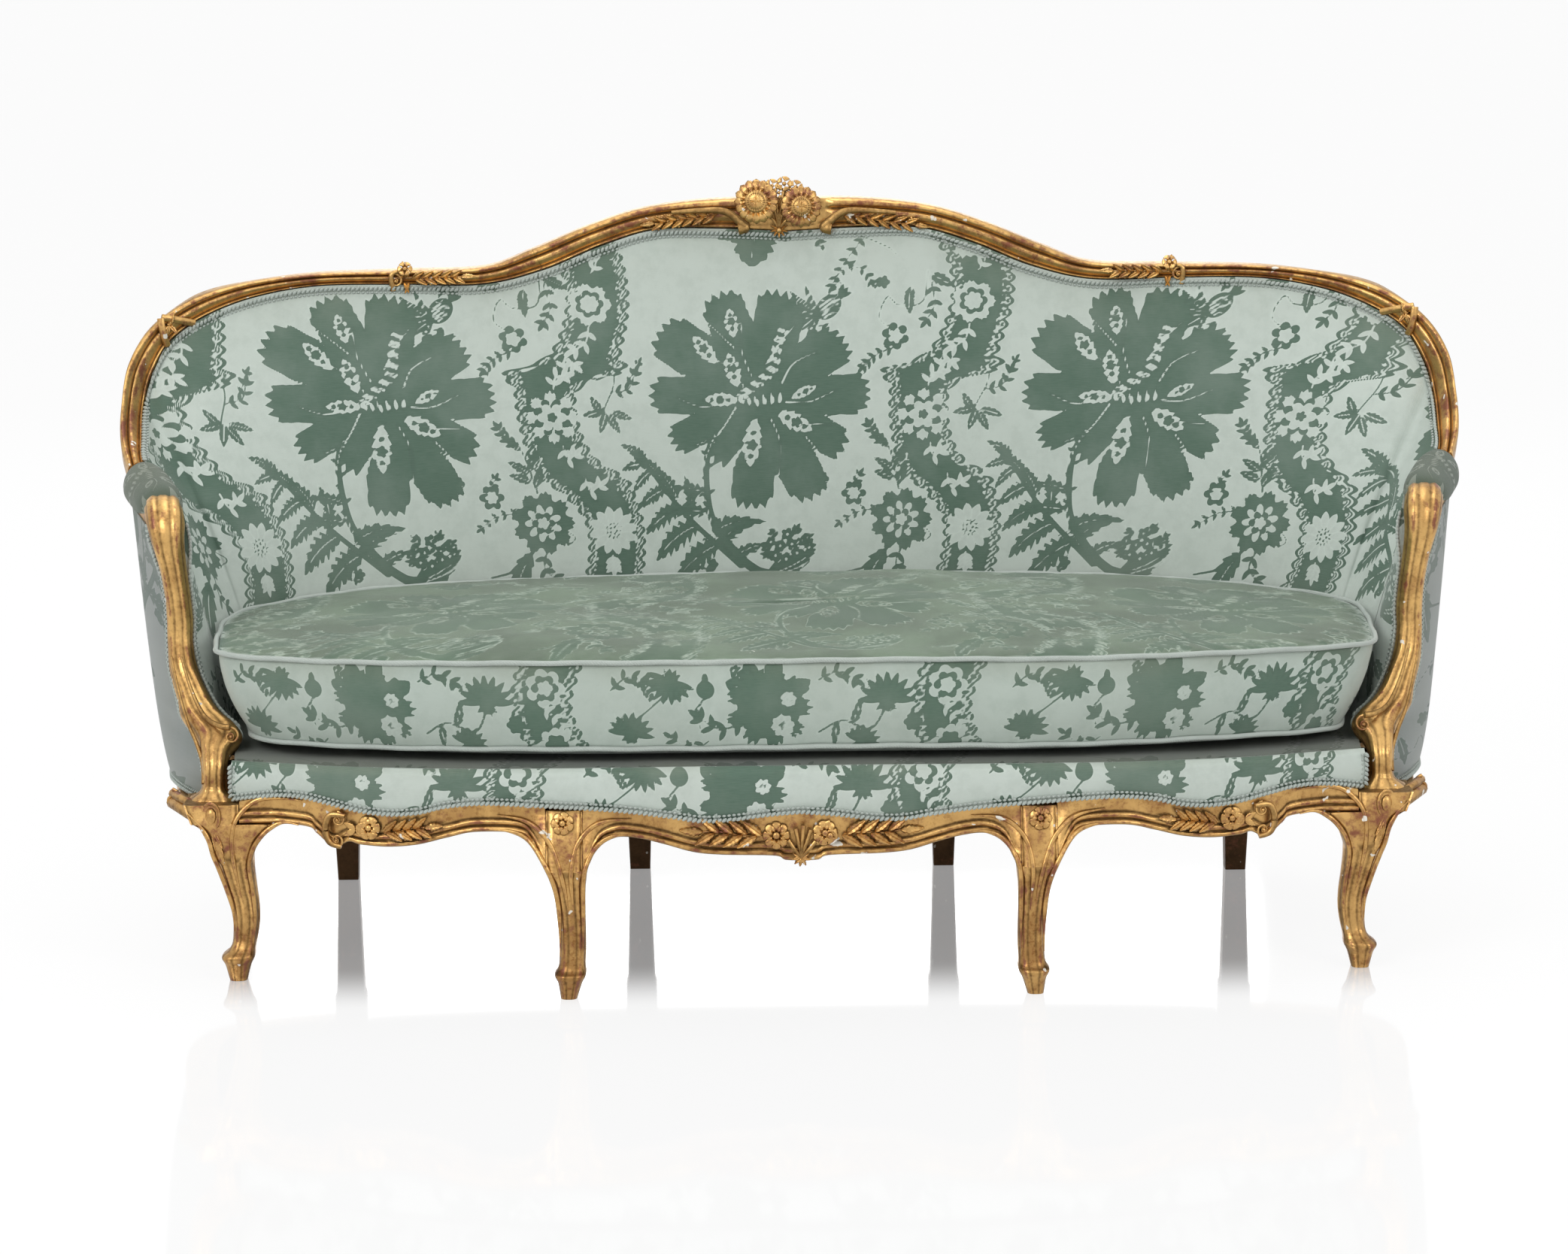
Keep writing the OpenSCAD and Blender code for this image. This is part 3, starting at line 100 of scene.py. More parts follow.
# Foot of the stuffed inside and outer face of the seat rails, at the same stations
INNER_FOOT = np.array([
    [0, .719], [.094, .719], [.175, .714], [.247, .709], [.322, .701], [.403, .684], [.507, .647],
    [.613, .577], [.688, .485], [.737, .378], [.766, .281], [.781, .221], [.789, .184], [.805, .077],
    [.818, -.040], [.826, -.182], [.830, -.318], [.833, -.435]]) * PLAN
OUTER_FOOT = np.array([
    [0, .856], [.098, .856], [.181, .856], [.254, .853], [.332, .848], [.415, .843], [.518, .828],
    [.627, .796], [.715, .741], [.772, .677], [.819, .597], [.850, .525], [.863, .473], [.889, .363],
    [.905, .226], [.912, .047], [.902, -.214], [.884, -.413]]) * PLAN
FRONT_PLAN = np.array([[0, -.955], [.16, -.952], [.33, -.938], [.47, -.905], [.62, -.824], [.725, -.727],
                       [.83, -.625]]) * PLAN
# Upper edge of the front rail's gilt face, and the lower edges of its three lengths
RAIL_LINE = np.array([
    [0, .883], [.05, .869], [.1, .848], [.14, .845], [.18, .866], [.25, .895], [.33, .912], [.43, .926],
    [.49, .907], [.53, .872], [.572, .859], [.612, .869], [.652, .893], [.694, .914], [.736, .910],
    [.80, .870]]) * RAIL
CENTER_EDGE = np.array([[0, .655], [.023, .659], [.038, .679], [.11, .686], [.15, .70], [.19, .738],
                        [.225, .766], [.255, .772], [.28, .734], [.295, .652], [.302, .640]]) * RAIL
BAY_EDGE = np.array([
    [.354, .640], [.371, .741], [.391, .79], [.451, .793], [.491, .762], [.532, .724], [.573, .707],
    [.613, .71], [.63, .721], [.649, .686], [.66, .703], [.676, .748], [.696, .779], [.80, .779]]) * RAIL
SIDE_EDGE = np.array([[-.62, .80], [-.5, .80], [-.38, .775], [-.25, .72], [-.1, .662], [.1, .64], [.3, .65],
                      [.6, .70], [.95, .77]]) * [HALF[1], RAIL_TOP]
# Sections of the front legs: height, then near and far X and front and back Y
OUTER_LEG = np.array([
    [.865, .786, .866, -.705, -.515], [.80, .786, .858, -.718, -.515], [.777, .786, .855, -.722, -.52],
    [.775, .742, .852, -.722, -.52], [.745, .747, .838, -.727, -.535], [.697, .761, .830, -.731, -.55],
    [.628, .768, .826, -.730, -.57], [.562, .770, .820, -.715, -.58], [.452, .768, .811, -.69, -.58],
    [.369, .766, .805, -.67, -.575], [.286, .766, .803, -.66, -.575], [.2, .770, .804, -.66, -.575],
    [.152, .773, .808, -.675, -.58], [.117, .776, .817, -.69, -.585], [.076, .779, .815, -.685, -.59],
    [0, .785, .810, -.668, -.6]])
INNER_LEG = np.array([
    [1, .302, .354, -.90, -.845], [.903, .302, .354, -.90, -.845], [.899, .302, .354, -.933, -.845],
    [.885, .302, .354, -.934, -.845], [.76, .302, .354, -.972, -.85], [.638, .302, .354, -1, -.86],
    [.63, .296, .354, -1, -.86], [.548, .30, .345, -.99, -.87], [.42, .301, .339, -.965, -.865],
    [.276, .301, .337, -.942, -.85], [.152, .302, .339, -.95, -.852], [.117, .304, .342, -.968, -.855],
    [.076, .307, .340, -.962, -.862], [0, .314, .337, -.94, -.875]])
# The arm support: height between leg and arm, X, Y, half the width and half the depth of frame_t
ARM_SUPPORT = np.array([
    [0, .826, -.577, .50, .53], [.05, .826, -.573, .45, .53], [.112, .825, -.581, .44, .42],
    [.162, .825, -.535, .58, .54], [.203, .821, -.495, .84, .56], [.238, .830, -.460, .92, .56],
    [.280, .848, -.418, .80, .55], [.331, .860, -.373, .64, .53], [.428, .877, -.303, .54, .50],
    [.533, .883, -.274, .47, .48], [.623, .883, -.264, .48, .48], [.722, .884, -.279, .47, .48],
    [.850, .888, -.306, .50, .50], [.957, .893, -.326, .61, .53], [1.030, .897, -.300, .72, .57],
    [1.064, .903, -.232, .70, .57], [1.014, .906, -.168, .58, .40]])
SUPPORT_FOOT, SUPPORT_TOP = .865 * RAIL_TOP, .601 * HALF[2]
INNER_HEAD = (.302, .354)
CORNER_HEAD, BORDER_END = .786, .798
CREST_END, SHOULDER_END, STILE_END, ARM_END, ARM_START = 4, 9, 14, 17, 14.05
# Stations of the arm's front edge behind the arm support, from its foot to its top
INSIDE_FRONT = [17.15, 16.3, 16.0, 16.3, 16.8, 16.8]
OUTSIDE_FRONT = [17.3, 16.95, 16.35, 16.3, 16.8, 17.2]
BACK_SWELL, SIDE_SWELL, CLOTH_T, ARM_REBATE = .024, .013, .003, .28
SEAT_Z, STUFFING_Z, DROOP = .319, .2943, .020
COVER_FOOT = .835 * RAIL_TOP
# The cushion's top and bottom seams, from the middle of the front round the right to the back
TOP_SEAM = np.array([
    [0, -.876], [.166, -.871], [.327, -.856], [.466, -.811], [.601, -.736], [.715, -.642], [.780, -.567],
    [.814, -.488], [.823, -.373], [.830, -.149], [.833, .05], [.825, .179], [.806, .279], [.776, .348],
    [.738, .420], [.687, .495], [.618, .565], [.515, .622], [.401, .652], [.206, .674], [0, .679]]) * PLAN
BOTTOM_SEAM = np.array([
    [0, -.871], [.161, -.866], [.317, -.851], [.452, -.806], [.580, -.731], [.688, -.639], [.742, -.570],
    [.768, -.498], [.777, -.398], [.790, -.174], [.796, .012], [.789, .137], [.769, .236], [.739, .308],
    [.702, .373], [.653, .443], [.587, .507], [.495, .567], [.391, .600], [.202, .622], [0, .627]]) * PLAN
BORDER_H, CROWN_H, BELLY_H, BORDER_SWELL = .118, .024, .020, .010


class SofaProperties(bpy.types.PropertyGroup):
    pattern_pitch: FloatProperty(
        name="Pattern pitch", description="Width of one repeat of the damask", default=.54, unit="LENGTH")
    pattern_height: FloatProperty(
        name="Pattern height", description="Height of the large flowers on the back", default=.713, unit="LENGTH")
    pattern_shift: FloatProperty(
        name="Pattern shift", description="How far the middle flower stands from the middle of the back",
        default=-.043, unit="LENGTH")
    cloth_mesh: FloatProperty(
        name="Cloth mesh", description="Distance between the points of a patterned cloth", default=.003, unit="LENGTH")
    weave_pitch: FloatProperty(
        name="Weave pitch", description="Distance between the ribs of the damask's weave", default=.0011, unit="LENGTH")
    gimp_pitch: FloatProperty(
        name="Gimp pitch", description="Distance between two turns of the gimp's cord", default=.0066, unit="LENGTH")
    leaf_gold: FloatVectorProperty(
        name="Leaf gold", description="Colour of the sound gilding", default=(.66, .405, .145), subtype="COLOR")
    worn_gold: FloatVectorProperty(
        name="Worn gold", description="Colour of the rubbed and toned gilding", default=(.25, .118, .036),
        subtype="COLOR")
    bole: FloatVectorProperty(
        name="Bole", description="Colour of the red clay under the gold", default=(.20, .062, .026), subtype="COLOR")
    gesso: FloatVectorProperty(
        name="Gesso", description="Colour of the chalk ground where it is chipped", default=(.72, .68, .60),
        subtype="COLOR")
    ground: FloatVectorProperty(
        name="Damask ground", description="Colour of the damask's satin ground", default=(.51, .572, .522),
        subtype="COLOR")
    figure: FloatVectorProperty(
        name="Damask figure", description="Colour of the damask's flowers", default=(.056, .114, .077),
        subtype="COLOR")
    worn_silk: FloatVectorProperty(
        name="Worn silk", description="Colour of the cushion's faded top", default=(.122, .174, .115),
        subtype="COLOR")
    braid: FloatVectorProperty(
        name="Gimp", description="Colour of the gimp and the cushion's welt", default=(.42, .47, .43), subtype="COLOR")


def settings():
    return bpy.context.scene.sofa


# Curves and surfaces of the frame

def way(table, u):
    """Points of the smooth curve through a table, at stations u."""
    table = np.asarray(table, float)
    u = np.clip(np.asarray(u, float), 0, len(table) - 1)
    i = np.minimum(u.astype(int), len(table) - 2)
    t = (u - i)[..., None]
    a, b = table[np.maximum(i - 1, 0)], table[i]
    c, d = table[i + 1], table[np.minimum(i + 2, len(table) - 1)]
    return (b * 2 + (c - a) * t + (a * 2 - b * 5 + c * 4 - d) * t ** 2 + (b * 3 - a - c * 3 + d) * t ** 3) / 2


def through(table, count):
    """A number of points along the smooth curve through a table."""
    return way(table, np.linspace(0, len(table) - 1, count))


def height(table, x):
    """Second coordinate of a table's curve at x."""
    line = through(table, 40 * len(table))
    return np.interp(x, line[:, 0], line[:, 1])


def front_y(x):
    return height(FRONT_PLAN, np.abs(x))


def rail_z(x):
    return height(RAIL_LINE, np.abs(x))


def smooth(t):
    t = np.clip(t, 0, 1)
    return t * t * (3 - 2 * t)


def lerp(a, b, t):
    return a + (b - a) * t


def unit(v):
    return v / np.maximum(np.linalg.norm(v, axis=-1, keepdims=True), 1e-9)


def xyz(x, y, z):
    return np.stack(np.broadcast_arrays(x, y, z), -1)


def join(*parts):
    """Arrays side by side along their second axis."""
    return np.concatenate(parts, 1)


def length_so_far(line):
    return np.append(0, np.cumsum(np.linalg.norm(np.diff(line, axis=0), axis=1)))


def sides(u, points):
    """Turns the points of negative stations over to the left."""
    return points * xyz(np.where(u < 0, -1, 1), 1, 1)


def back_way(u):
    """From the face of the back frame to its back, at stations u."""
    u = np.abs(u)
    along = way(SIGHT, u + .02) - way(SIGHT, u - .02)
    depth = np.cross(way(RIM, u) - way(SIGHT, u), along)
    depth[..., 0] = 0
    return unit(depth)


def frame_point(u, s, t):
    """Point of the back frame: s from the inner to the outer edge, t behind its face."""
    u, s, t = np.broadcast_arrays(np.asarray(u, float), s, t)
    r = np.abs(u)
    return sides(u, lerp(way(SIGHT, r), way(RIM, r), s[..., None]) + back_way(r) * t[..., None])


def outwards(u):
    u = np.minimum(u, len(INNER_FOOT) - 1.05)
    t = unit(way(INNER_FOOT, u + .2) - way(INNER_FOOT, np.maximum(u - .2, 0)))
    return xyz(-t[..., 1], t[..., 0], 0)


def wall_foot(u, w, z):
    """Foot of the walls at height z: w from the stuffed inside to the outside cover."""
    w = np.broadcast_to(w, np.shape(u))[..., None]
    flat = lerp(way(INNER_FOOT, u), way(OUTER_FOOT, u), w)
    return xyz(flat[..., 0], flat[..., 1], z)


def into_wall(r):
    return unit(wall_foot(r, 0, 0) - wall_foot(r, 1, 0)) * CLOTH_T


def puff(v, c, bias):
    return np.sin(np.pi * np.maximum(0, (v - c) / (1 - c)) ** bias)


def frame_width(u):
    return np.linalg.norm(way(RIM, u) - way(SIGHT, u), axis=-1)


def wall_stations(u, v):
    """Stations and shares as arrays, with the distance from the middle and where an arm begins."""
    u, v = np.broadcast_arrays(np.asarray(u, float), v)
    return u, v, np.abs(u), smooth((np.abs(u) - STILE_END) / .2)


def pad_front(u, v):
    """The stuffed inside of the back and arms: u along the frame, v from the seat to the frame."""
    u, v, r, arm = wall_stations(u, v)
    top = frame_point(r, lerp(-.0009 / frame_width(r), -.10, arm), arm * (ARM_REBATE * FRAME_T + GAP))
    clear = (SEAT_Z - STUFFING_Z) / (top[..., 2] - STUFFING_Z)
    swell = BACK_SWELL * lerp(1, .5, smooth(r - STILE_END + 1)) * puff(v, clear, .8)
    return sides(u, lerp(wall_foot(r, 0, STUFFING_Z), top, v[..., None]) - outwards(r) * swell[..., None])


def pad_back(u, v):
    u, v, r, arm = wall_stations(u, v)
    top = frame_point(r, lerp(-.0009 / frame_width(r), .33, arm), lerp(.42 * FRAME_T, FRAME_T + GAP, arm))
    return sides(u, lerp(wall_foot(r, lerp(.42, .36, arm), STUFFING_Z), top, v[..., None]))


def cover_point(u, v, w=1.0, fade=1.0):
    """The outside cover, from the seat rail to the frame, whose lower edge it laps on the arms."""
    u, v, r, _ = wall_stations(u, v)
    k = smooth((r - 12.5) / 1.5)
    s = lerp(-GAP / frame_width(r), lerp(.33, .92, w), k)
    top = frame_point(r, s, FRAME_T - .0017 * np.minimum(1, k * 9))
    swell = SIDE_SWELL * smooth((r - 7) / 5) * fade * puff(v, 0, .62)
    foot = wall_foot(r, w, COVER_FOOT)
    return sides(u, lerp(foot, top, v[..., None]) + outwards(r) * swell[..., None] - into_wall(r) * (v * k)[..., None])


# Meshes

def clear_selection():
    if bpy.context.object and bpy.context.object.mode != "OBJECT":
        bpy.ops.object.mode_set(mode="OBJECT")
    bpy.ops.object.select_all(action="DESELECT")


def layer(piece, name, values):
    """Stores a number for each point of a piece, or a vector where the values have three axes."""
    values = np.asarray(values, np.float32)
    kind, key = ("FLOAT_VECTOR", "vector") if values.ndim == 3 else ("FLOAT", "value")
    piece.data.attributes.new(name, kind, "POINT").data.foreach_set(key, values.ravel())


def shell(name, rows, ends=True, **layers):
    """A grid laid over rings of points, joined round each ring and closed at its ends."""
    rows = np.asarray(rows, float)
    m, n = rows.shape[:2]
    clear_selection()
    bpy.ops.mesh.primitive_grid_add(x_subdivisions=n, y_subdivisions=m - 1, size=1)
    piece = bpy.context.object
    piece.name = piece.data.name = name
    piece.data.vertices.foreach_set("co", join(rows, rows[:, :1]).ravel())
    for key, values in layers.items():
        values = np.broadcast_to(values, rows.shape if np.ndim(values) == 3 else (m, n))
        layer(piece, key, join(values, values[:, :1]))
    bpy.ops.object.mode_set(mode="EDIT")
    bpy.ops.mesh.select_all(action="SELECT")
    bpy.ops.mesh.remove_doubles(threshold=1e-6)
    if ends:
        bpy.ops.mesh.select_all(action="DESELECT")
        bpy.ops.mesh.select_mode(type="EDGE")
        bpy.ops.mesh.select_non_manifold(extend=False)
        bpy.ops.mesh.fill_holes(sides=0)
    bpy.ops.mesh.select_all(action="SELECT")
    bpy.ops.mesh.normals_make_consistent(inside=False)
    bpy.ops.object.mode_set(mode="OBJECT")
    bpy.ops.object.shade_smooth_by_angle(angle=math.radians(50))
    return piece


def finish(piece, material, slot, *cad, body="frame", padded=None):
    """Gives a piece its material and body, and hides the CAD nodes that it replaces; its slot and filling (padded) are
    not used.
    """
    piece.data.materials.clear()
    piece.data.materials.append(material())
    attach(piece, body)
    if cad:
        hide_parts(*cad)


def gilt(piece, *cad):
    finish(piece, gilding, "giltwood", *cad)


SIDES = (("right", 1), ("left", -1))


def gilt_pair(cad, rows, relief, name=None):
    """The right-hand piece of gilded frame and its left-hand twin."""
    for side, turn in SIDES:
        gilt(shell(f"gilt_{name or cad}_{side}", rows * [turn, 1, 1], relief=relief), f"{cad}_{side}")


def model(piece):
    """Points, faces and relief of a piece, which is then removed."""
    mesh = piece.data
    points = np.empty(len(mesh.vertices) * 3)
    mesh.vertices.foreach_get("co", points)
    relief = np.ones(len(mesh.vertices), np.float32)
    if "relief" in mesh.attributes:
        mesh.attributes["relief"].data.foreach_get("value", relief)
    faces = [tuple(p.vertices) for p in mesh.polygons]
    bpy.data.objects.remove(piece)
    bpy.data.meshes.remove(mesh)
    return points.reshape(-1, 3), faces, relief


def assemble(name, parts):
    """One piece from (model, matrix) pairs: each ornament is modelled once and copied."""
    points, faces, relief, count = [], [], [], 0
    for (co, polygons, high), place in parts:
        place = np.asarray(place, float)
        points.append(co @ place[:3, :3].T + place[:3, 3])
        turned = np.linalg.det(place[:3, :3]) < 0
        faces += [tuple(count + i for i in (reversed(p) if turned else p)) for p in polygons]
        relief.append(high)
        count += len(co)
    mesh = bpy.data.meshes.new(name)
    mesh.from_pydata(np.concatenate(points).tolist(), [], faces)
    piece = bpy.data.objects.new(name, mesh)
    bpy.context.scene.collection.objects.link(piece)
    layer(piece, "relief", np.concatenate(relief))
    clear_selection()
    piece.select_set(True)
    bpy.context.view_layer.objects.active = piece
    bpy.ops.object.shade_smooth_by_angle(angle=math.radians(60))
    return piece


def place(at, along=(1, 0, 0), up=(0, -1, 0), scale=(1, 1, 1)):
    """Matrix that puts a model's X along and its Z up, at a point."""
    z = unit(np.asarray(up, float))
    x = np.asarray(along, float)
    x = unit(x - z * np.dot(x, z))
    y = np.cross(z, x)
    m = np.eye(4)
    m[:3, :3] = np.stack([x, y, z], 1) * np.broadcast_to(scale, 3)
    m[:3, 3] = at
    return m


MIRROR = np.diag([-1.0, 1, 1, 1])
IN_PLACE = np.eye(4)


def with_twins(parts):
    return parts + [(made, MIRROR @ at) for made, at in parts]


# Carving models, one unit long or one unit in radius, lying flat with Z up

def sphere(segments, rings):
    clear_selection()
    bpy.ops.mesh.primitive_uv_sphere_add(segments=segments, ring_count=rings, radius=1)
    return bpy.context.object


def leaf_model(teeth=5, rings=20, rise=.16, curl=.10, full=.85):
    """A pointed leaf from a sphere: its poles become root and tip, and its edge is cut into teeth."""
    leaf = sphere(12, rings)
    co = np.array([v.co for v in leaf.data.vertices])
    t = np.arcsin(np.clip(co[:, 2], -1, 1)) / math.pi + .5
    turn = np.arctan2(co[:, 1], co[:, 0])
    across, above = np.cos(turn), np.sin(turn)
    cut = 1 - .30 * (1 - (t * teeth) % 1) * (teeth > 0) * smooth(np.abs(across) * 2)
    width = .25 * np.sin(np.pi * t ** full) ** .75 * cut
    top = rise * np.sin(np.pi * t ** .8) ** .6 * above
    groove = .45 * np.exp(-(across / .22) ** 2) - .25 * np.abs(across) ** 3
    co = xyz(t, width * across, np.where(above > 0, top * (1 - groove), top * .5) + curl * (t ** 3 - .2 * t))
    leaf.data.vertices.foreach_set("co", co.ravel())
    layer(leaf, "relief", np.where(above > 0, .35 + .65 * np.abs(above) * (1 - groove), .1))
    return model(leaf)


def bead_model(segments=10, rings=7):
    bead = sphere(segments, rings)
    layer(bead, "relief", [.3 + .7 * max(0, v.co.z) for v in bead.data.vertices])
    return model(bead)


def seed_model():
    """The middle of a sunflower: a dome with rows of seeds."""
    dome = sphere(48, 28)
    high = []
    for v in dome.data.vertices:
        r, a = math.hypot(v.co.x, v.co.y), math.atan2(v.co.y, v.co.x)
        seeds = math.cos(13 * (a + r * 2.2)) * math.cos(13 * (a - r * 2.2)) * min(1, r * 2.5)
        v.co.z = v.co.z * .42 + .05 * seeds * (v.co.z > 0)
        high.append(.55 + .45 * seeds)
    layer(dome, "relief", high)
    return model(dome)


def tube(points, radii, segments=8, flat=1.0, up=(0, 0, 1)):
    """A closed tube through points, as a model."""
    points, radii = np.asarray(points, float), np.asarray(radii, float)
    step = unit(np.gradient(points, axis=0))
    side = unit(np.cross(step, np.broadcast_to(up, step.shape)))
    rise = np.cross(side, step)
    turn = np.linspace(0, 2 * math.pi, segments, endpoint=False)
    c, s = np.cos(turn)[None, :, None], np.sin(turn)[None, :, None]
    rows = points[:, None] + radii[:, None, None] * (side[:, None] * c + rise[:, None] * s * flat)
    return model(shell("tube", rows, relief=np.broadcast_to(.4 + .6 * np.maximum(0, np.sin(turn)), rows.shape[:2])))


def stroke(points, count, thick, *shape):
    """A tube along the smooth curve through a few points; thick is its first and last radius."""
    return tube(through(points, count), np.linspace(*thick, count), *shape), IN_PLACE


def volute_model():
    """A scroll that winds in to an eye, in its own plane."""
    t = np.linspace(0, 1, 64)
    r, a = .16 ** t, 3.5 * math.pi * t
    scroll = tube(xyz(r * np.cos(a), r * np.sin(a), .25 * t), .26 * lerp(.75, .55, t) * r ** .45, 8, .9)
    eye = place((0, 0, .22), up=(0, 0, 1), scale=(.24, .24, .3))
    return model(assemble("volute", [(scroll, IN_PLACE), (bead_model(), eye)]))


@functools.cache
def carved(kind):
    """The model of one ornament."""
    return {"leaf": leaf_model, "petal": lambda: leaf_model(0, 10, .14, -.05, 1.9), "bead": bead_model,
            "seeds": seed_model, "volute": volute_model}[kind]()


def ornament(kind, *where):
    """One part of a carving: the kind of ornament, and its place's point, directions and scale."""
    return carved(kind), place(*where)


def around(angle):
    a = math.radians(angle)
    return math.cos(a), 0, math.sin(a)


def fan(at, up, angles, sizes):
    """Leaves that spread from a point, at angles in the sofa's front plane."""
    return [ornament("leaf", at, around(angle), up, size)
            for angle, size in zip(angles, np.broadcast_to(sizes, (len(angles), 3)))]


def flower(at, r, petals, up=(0, -1, 0), rows=1, seeds=False):
    """Petals in a ring or two, and a domed middle."""
    parts = []
    for row in range(rows):
        size = r * (1 - .26 * row)
        wide = (5.6 if petals < 10 else 7.6) / petals
        shape = np.diag([size * .76, size * 1.9 * wide, size * 1.3, 1])
        for k in range(petals):
            turn = Matrix.Rotation(2 * math.pi * (k + row / 2) / petals, 4, "Z") @ Matrix.Translation(
                (size * .28, 0, size * .07 * (row + 1)))
            parts.append((carved("petal"), place(at, up=up) @ np.array(turn) @ shape))
    m = r * (.56 if seeds else .30)
    made, middle = ornament("seeds" if seeds else "bead", at, (1, 0, 0), up, (m, m, m * (.9 if seeds else .8)))
    return parts + [(made, middle @ np.array(Matrix.Translation((0, 0, .25))))]


def spray(at, along, length, size, pairs, up=(0, -1, 0), spread=32):
    """Leaves in pairs along a stem, berries beside every second pair, and one leaf at its end."""
    base = place(at, along, up)
    step = (length - size) / pairs
    parts = []

    def put(kind, x, y, z, sizes, turn=Matrix()):
        spot = np.array(Matrix.Translation((x, y, z)) @ turn)
        parts.append((carved(kind), base @ spot @ np.diag([size * s for s in sizes] + [1])))
    for k in range(pairs):
        for side in (-1, 1):
            put("leaf", step * (k + .16 * side), 0, size * .05, (1, .86, 1.15),
                Matrix.Rotation(math.radians(side * spread), 4, "Z") @ Matrix.Rotation(math.radians(-7), 4, "Y"))
            if k % 2:
                put("bead", step * k + size * .5, side * size * .42, size * .06, (.09, .09, .09))
    put("leaf", step * pairs, 0, size * .05, (1, .9, 1))
    run = np.linspace(0, step * pairs + size * .3, 14)
    stem = tube(xyz(run, .06 * size * np.sin(9 * run / length), .04 * size), np.linspace(.075, .04, 14) * size, 6)
    return parts + [(stem, base)]


# The damask, drawn in units of 1/970 of a repeat, with the large flower's heart at 0, 0

class Drawing:
    """Signed distances from a drawn figure, kept at every point of a cloth: positive lies inside."""
    width, tall = 970.0, 1020.0

    def __init__(self, x, y):
        self.x, self.y = x, y
        self.ink = np.full(x.shape, -9.0, np.float32)

    def near(self, x, y, reach):
        dx = (self.x - x + self.width / 2) % self.width - self.width / 2
        dy = (self.y - y + self.tall / 2) % self.tall - self.tall / 2
        hit = np.nonzero((np.abs(dx) < reach) & (np.abs(dy) < reach))
        return hit, dx[hit], dy[hit]

    def add(self, hit, d, cut=False):
        old = self.ink[hit]
        self.ink[hit] = np.minimum(old, -d) if cut else np.maximum(old, np.minimum(d, 9))

    def leaf(self, x, y, angle, length, width, teeth=0, bend=0.0, full=.8, deep=.34, vein=True, cut=False):
        """A leaf from its root: teeth point to its tip, and bend curves it to the left."""
        hit, dx, dy = self.near(x, y, length * 1.15 + width)
        a = math.radians(angle)
        t = (dx * math.cos(a) + dy * math.sin(a)) / length
        b = -dx * math.sin(a) + dy * math.cos(a) - bend * length * t * t
        c = np.clip(t, 0, 1)
        saw = (c * teeth + np.where(b > 0, 0, .5)) % 1
        w = width / 2 * np.sin(np.pi * c ** full) ** .7 * (1 - (deep * (1 - saw) if teeth else 0))
        d = np.minimum(w - np.abs(b), np.minimum(t, 1 - t) * length * .6)
        if vein and not cut and width > 16:
            d = np.minimum(d, np.maximum(np.abs(b) - 1.7, (t - .78) * 60))
        self.add(hit, d, cut)

    def disc(self, x, y, r, cut=False):
        hit, dx, dy = self.near(x, y, r + 6)
        self.add(hit, r - np.hypot(dx, dy), cut)

    def petals(self, x, y, r, count, deep=.5, phase=0.0, ragged=0.0, cut=False):
        hit, dx, dy = self.near(x, y, r * 1.2)
        a = np.arctan2(dy, dx) + phase
        edge = r * (deep + (1 - deep) * np.abs(np.cos(count * a / 2)) ** .6)
        edge = edge * (1 + ragged * np.cos(count * 4 * a))
        self.add(hit, (edge - np.hypot(dx, dy)) * .9, cut)

    def rose(self, x, y, *rings):
        """Rings of petals from the outside in; a ring with a negative radius is cut out."""
        for r, *shape in rings:
            self.petals(x, y, abs(r), *shape, cut=r < 0)

    def stem(self, points, start=4.0, end=3.0, cut=False):
        """A line through points, from one width to another."""
        line = through(points, 5 * len(points))
        middle = (line.min(0) + line.max(0)) / 2
        hit, dx, dy = self.near(*middle, np.ptp(line, axis=0).max() / 2 + 12)
        best = np.full(dx.shape, -9.0)
        for k in range(len(line) - 1):
            a, b = line[k] - middle, line[k + 1] - middle
            run = b - a
            t = np.clip(((dx - a[0]) * run[0] + (dy - a[1]) * run[1]) / max(run @ run, 1e-6), 0, 1)
            w = lerp(start, end, (k + t) / (len(line) - 1)) / 2
            best = np.maximum(best, w - np.hypot(dx - a[0] - run[0] * t, dy - a[1] - run[1] * t))
        self.add(hit, best, cut)

    def sprigs(self, *rows, cut=False):
        """Stems with pairs of small leaves and one leaf at their ends: size, leaves, points of the stem."""
        for size, leaves, *points in rows:
            self.stem(points, size * .16, size * .12, cut)
            for k in range(leaves):
                u = (k + .6) / leaves * (len(points) - 1)
                angle = math.degrees(math.atan2(*(way(points, u + .01) - way(points, u - .01))[::-1]))
                for turn in (52, -52):
                    self.leaf(*way(points, u), angle + turn, size, size * .42, cut=cut)
            self.leaf(*points[-1], angle, size, size * .45, cut=cut)

    def leaves(self, rows, **shape):
        for row in rows:
            self.leaf(*row, **shape)

    def daisy(self, x, y, r, count=12):
        for k in range(count):
            a = 360 / count * k + 9
            dx, _, dy = around(a)
            self.leaf(x + .24 * r * dx, y + .24 * r * dy, a, r * .78, r * 5.4 / count * .82, full=1.25, cut=True)
        self.disc(x, y, r * .26, cut=True)
        for k in range(5):
            dx, _, dy = around(72 * k)
            self.disc(x + .15 * r * dx, y + .15 * r * dy, r * .055)

    def great_flower(self):
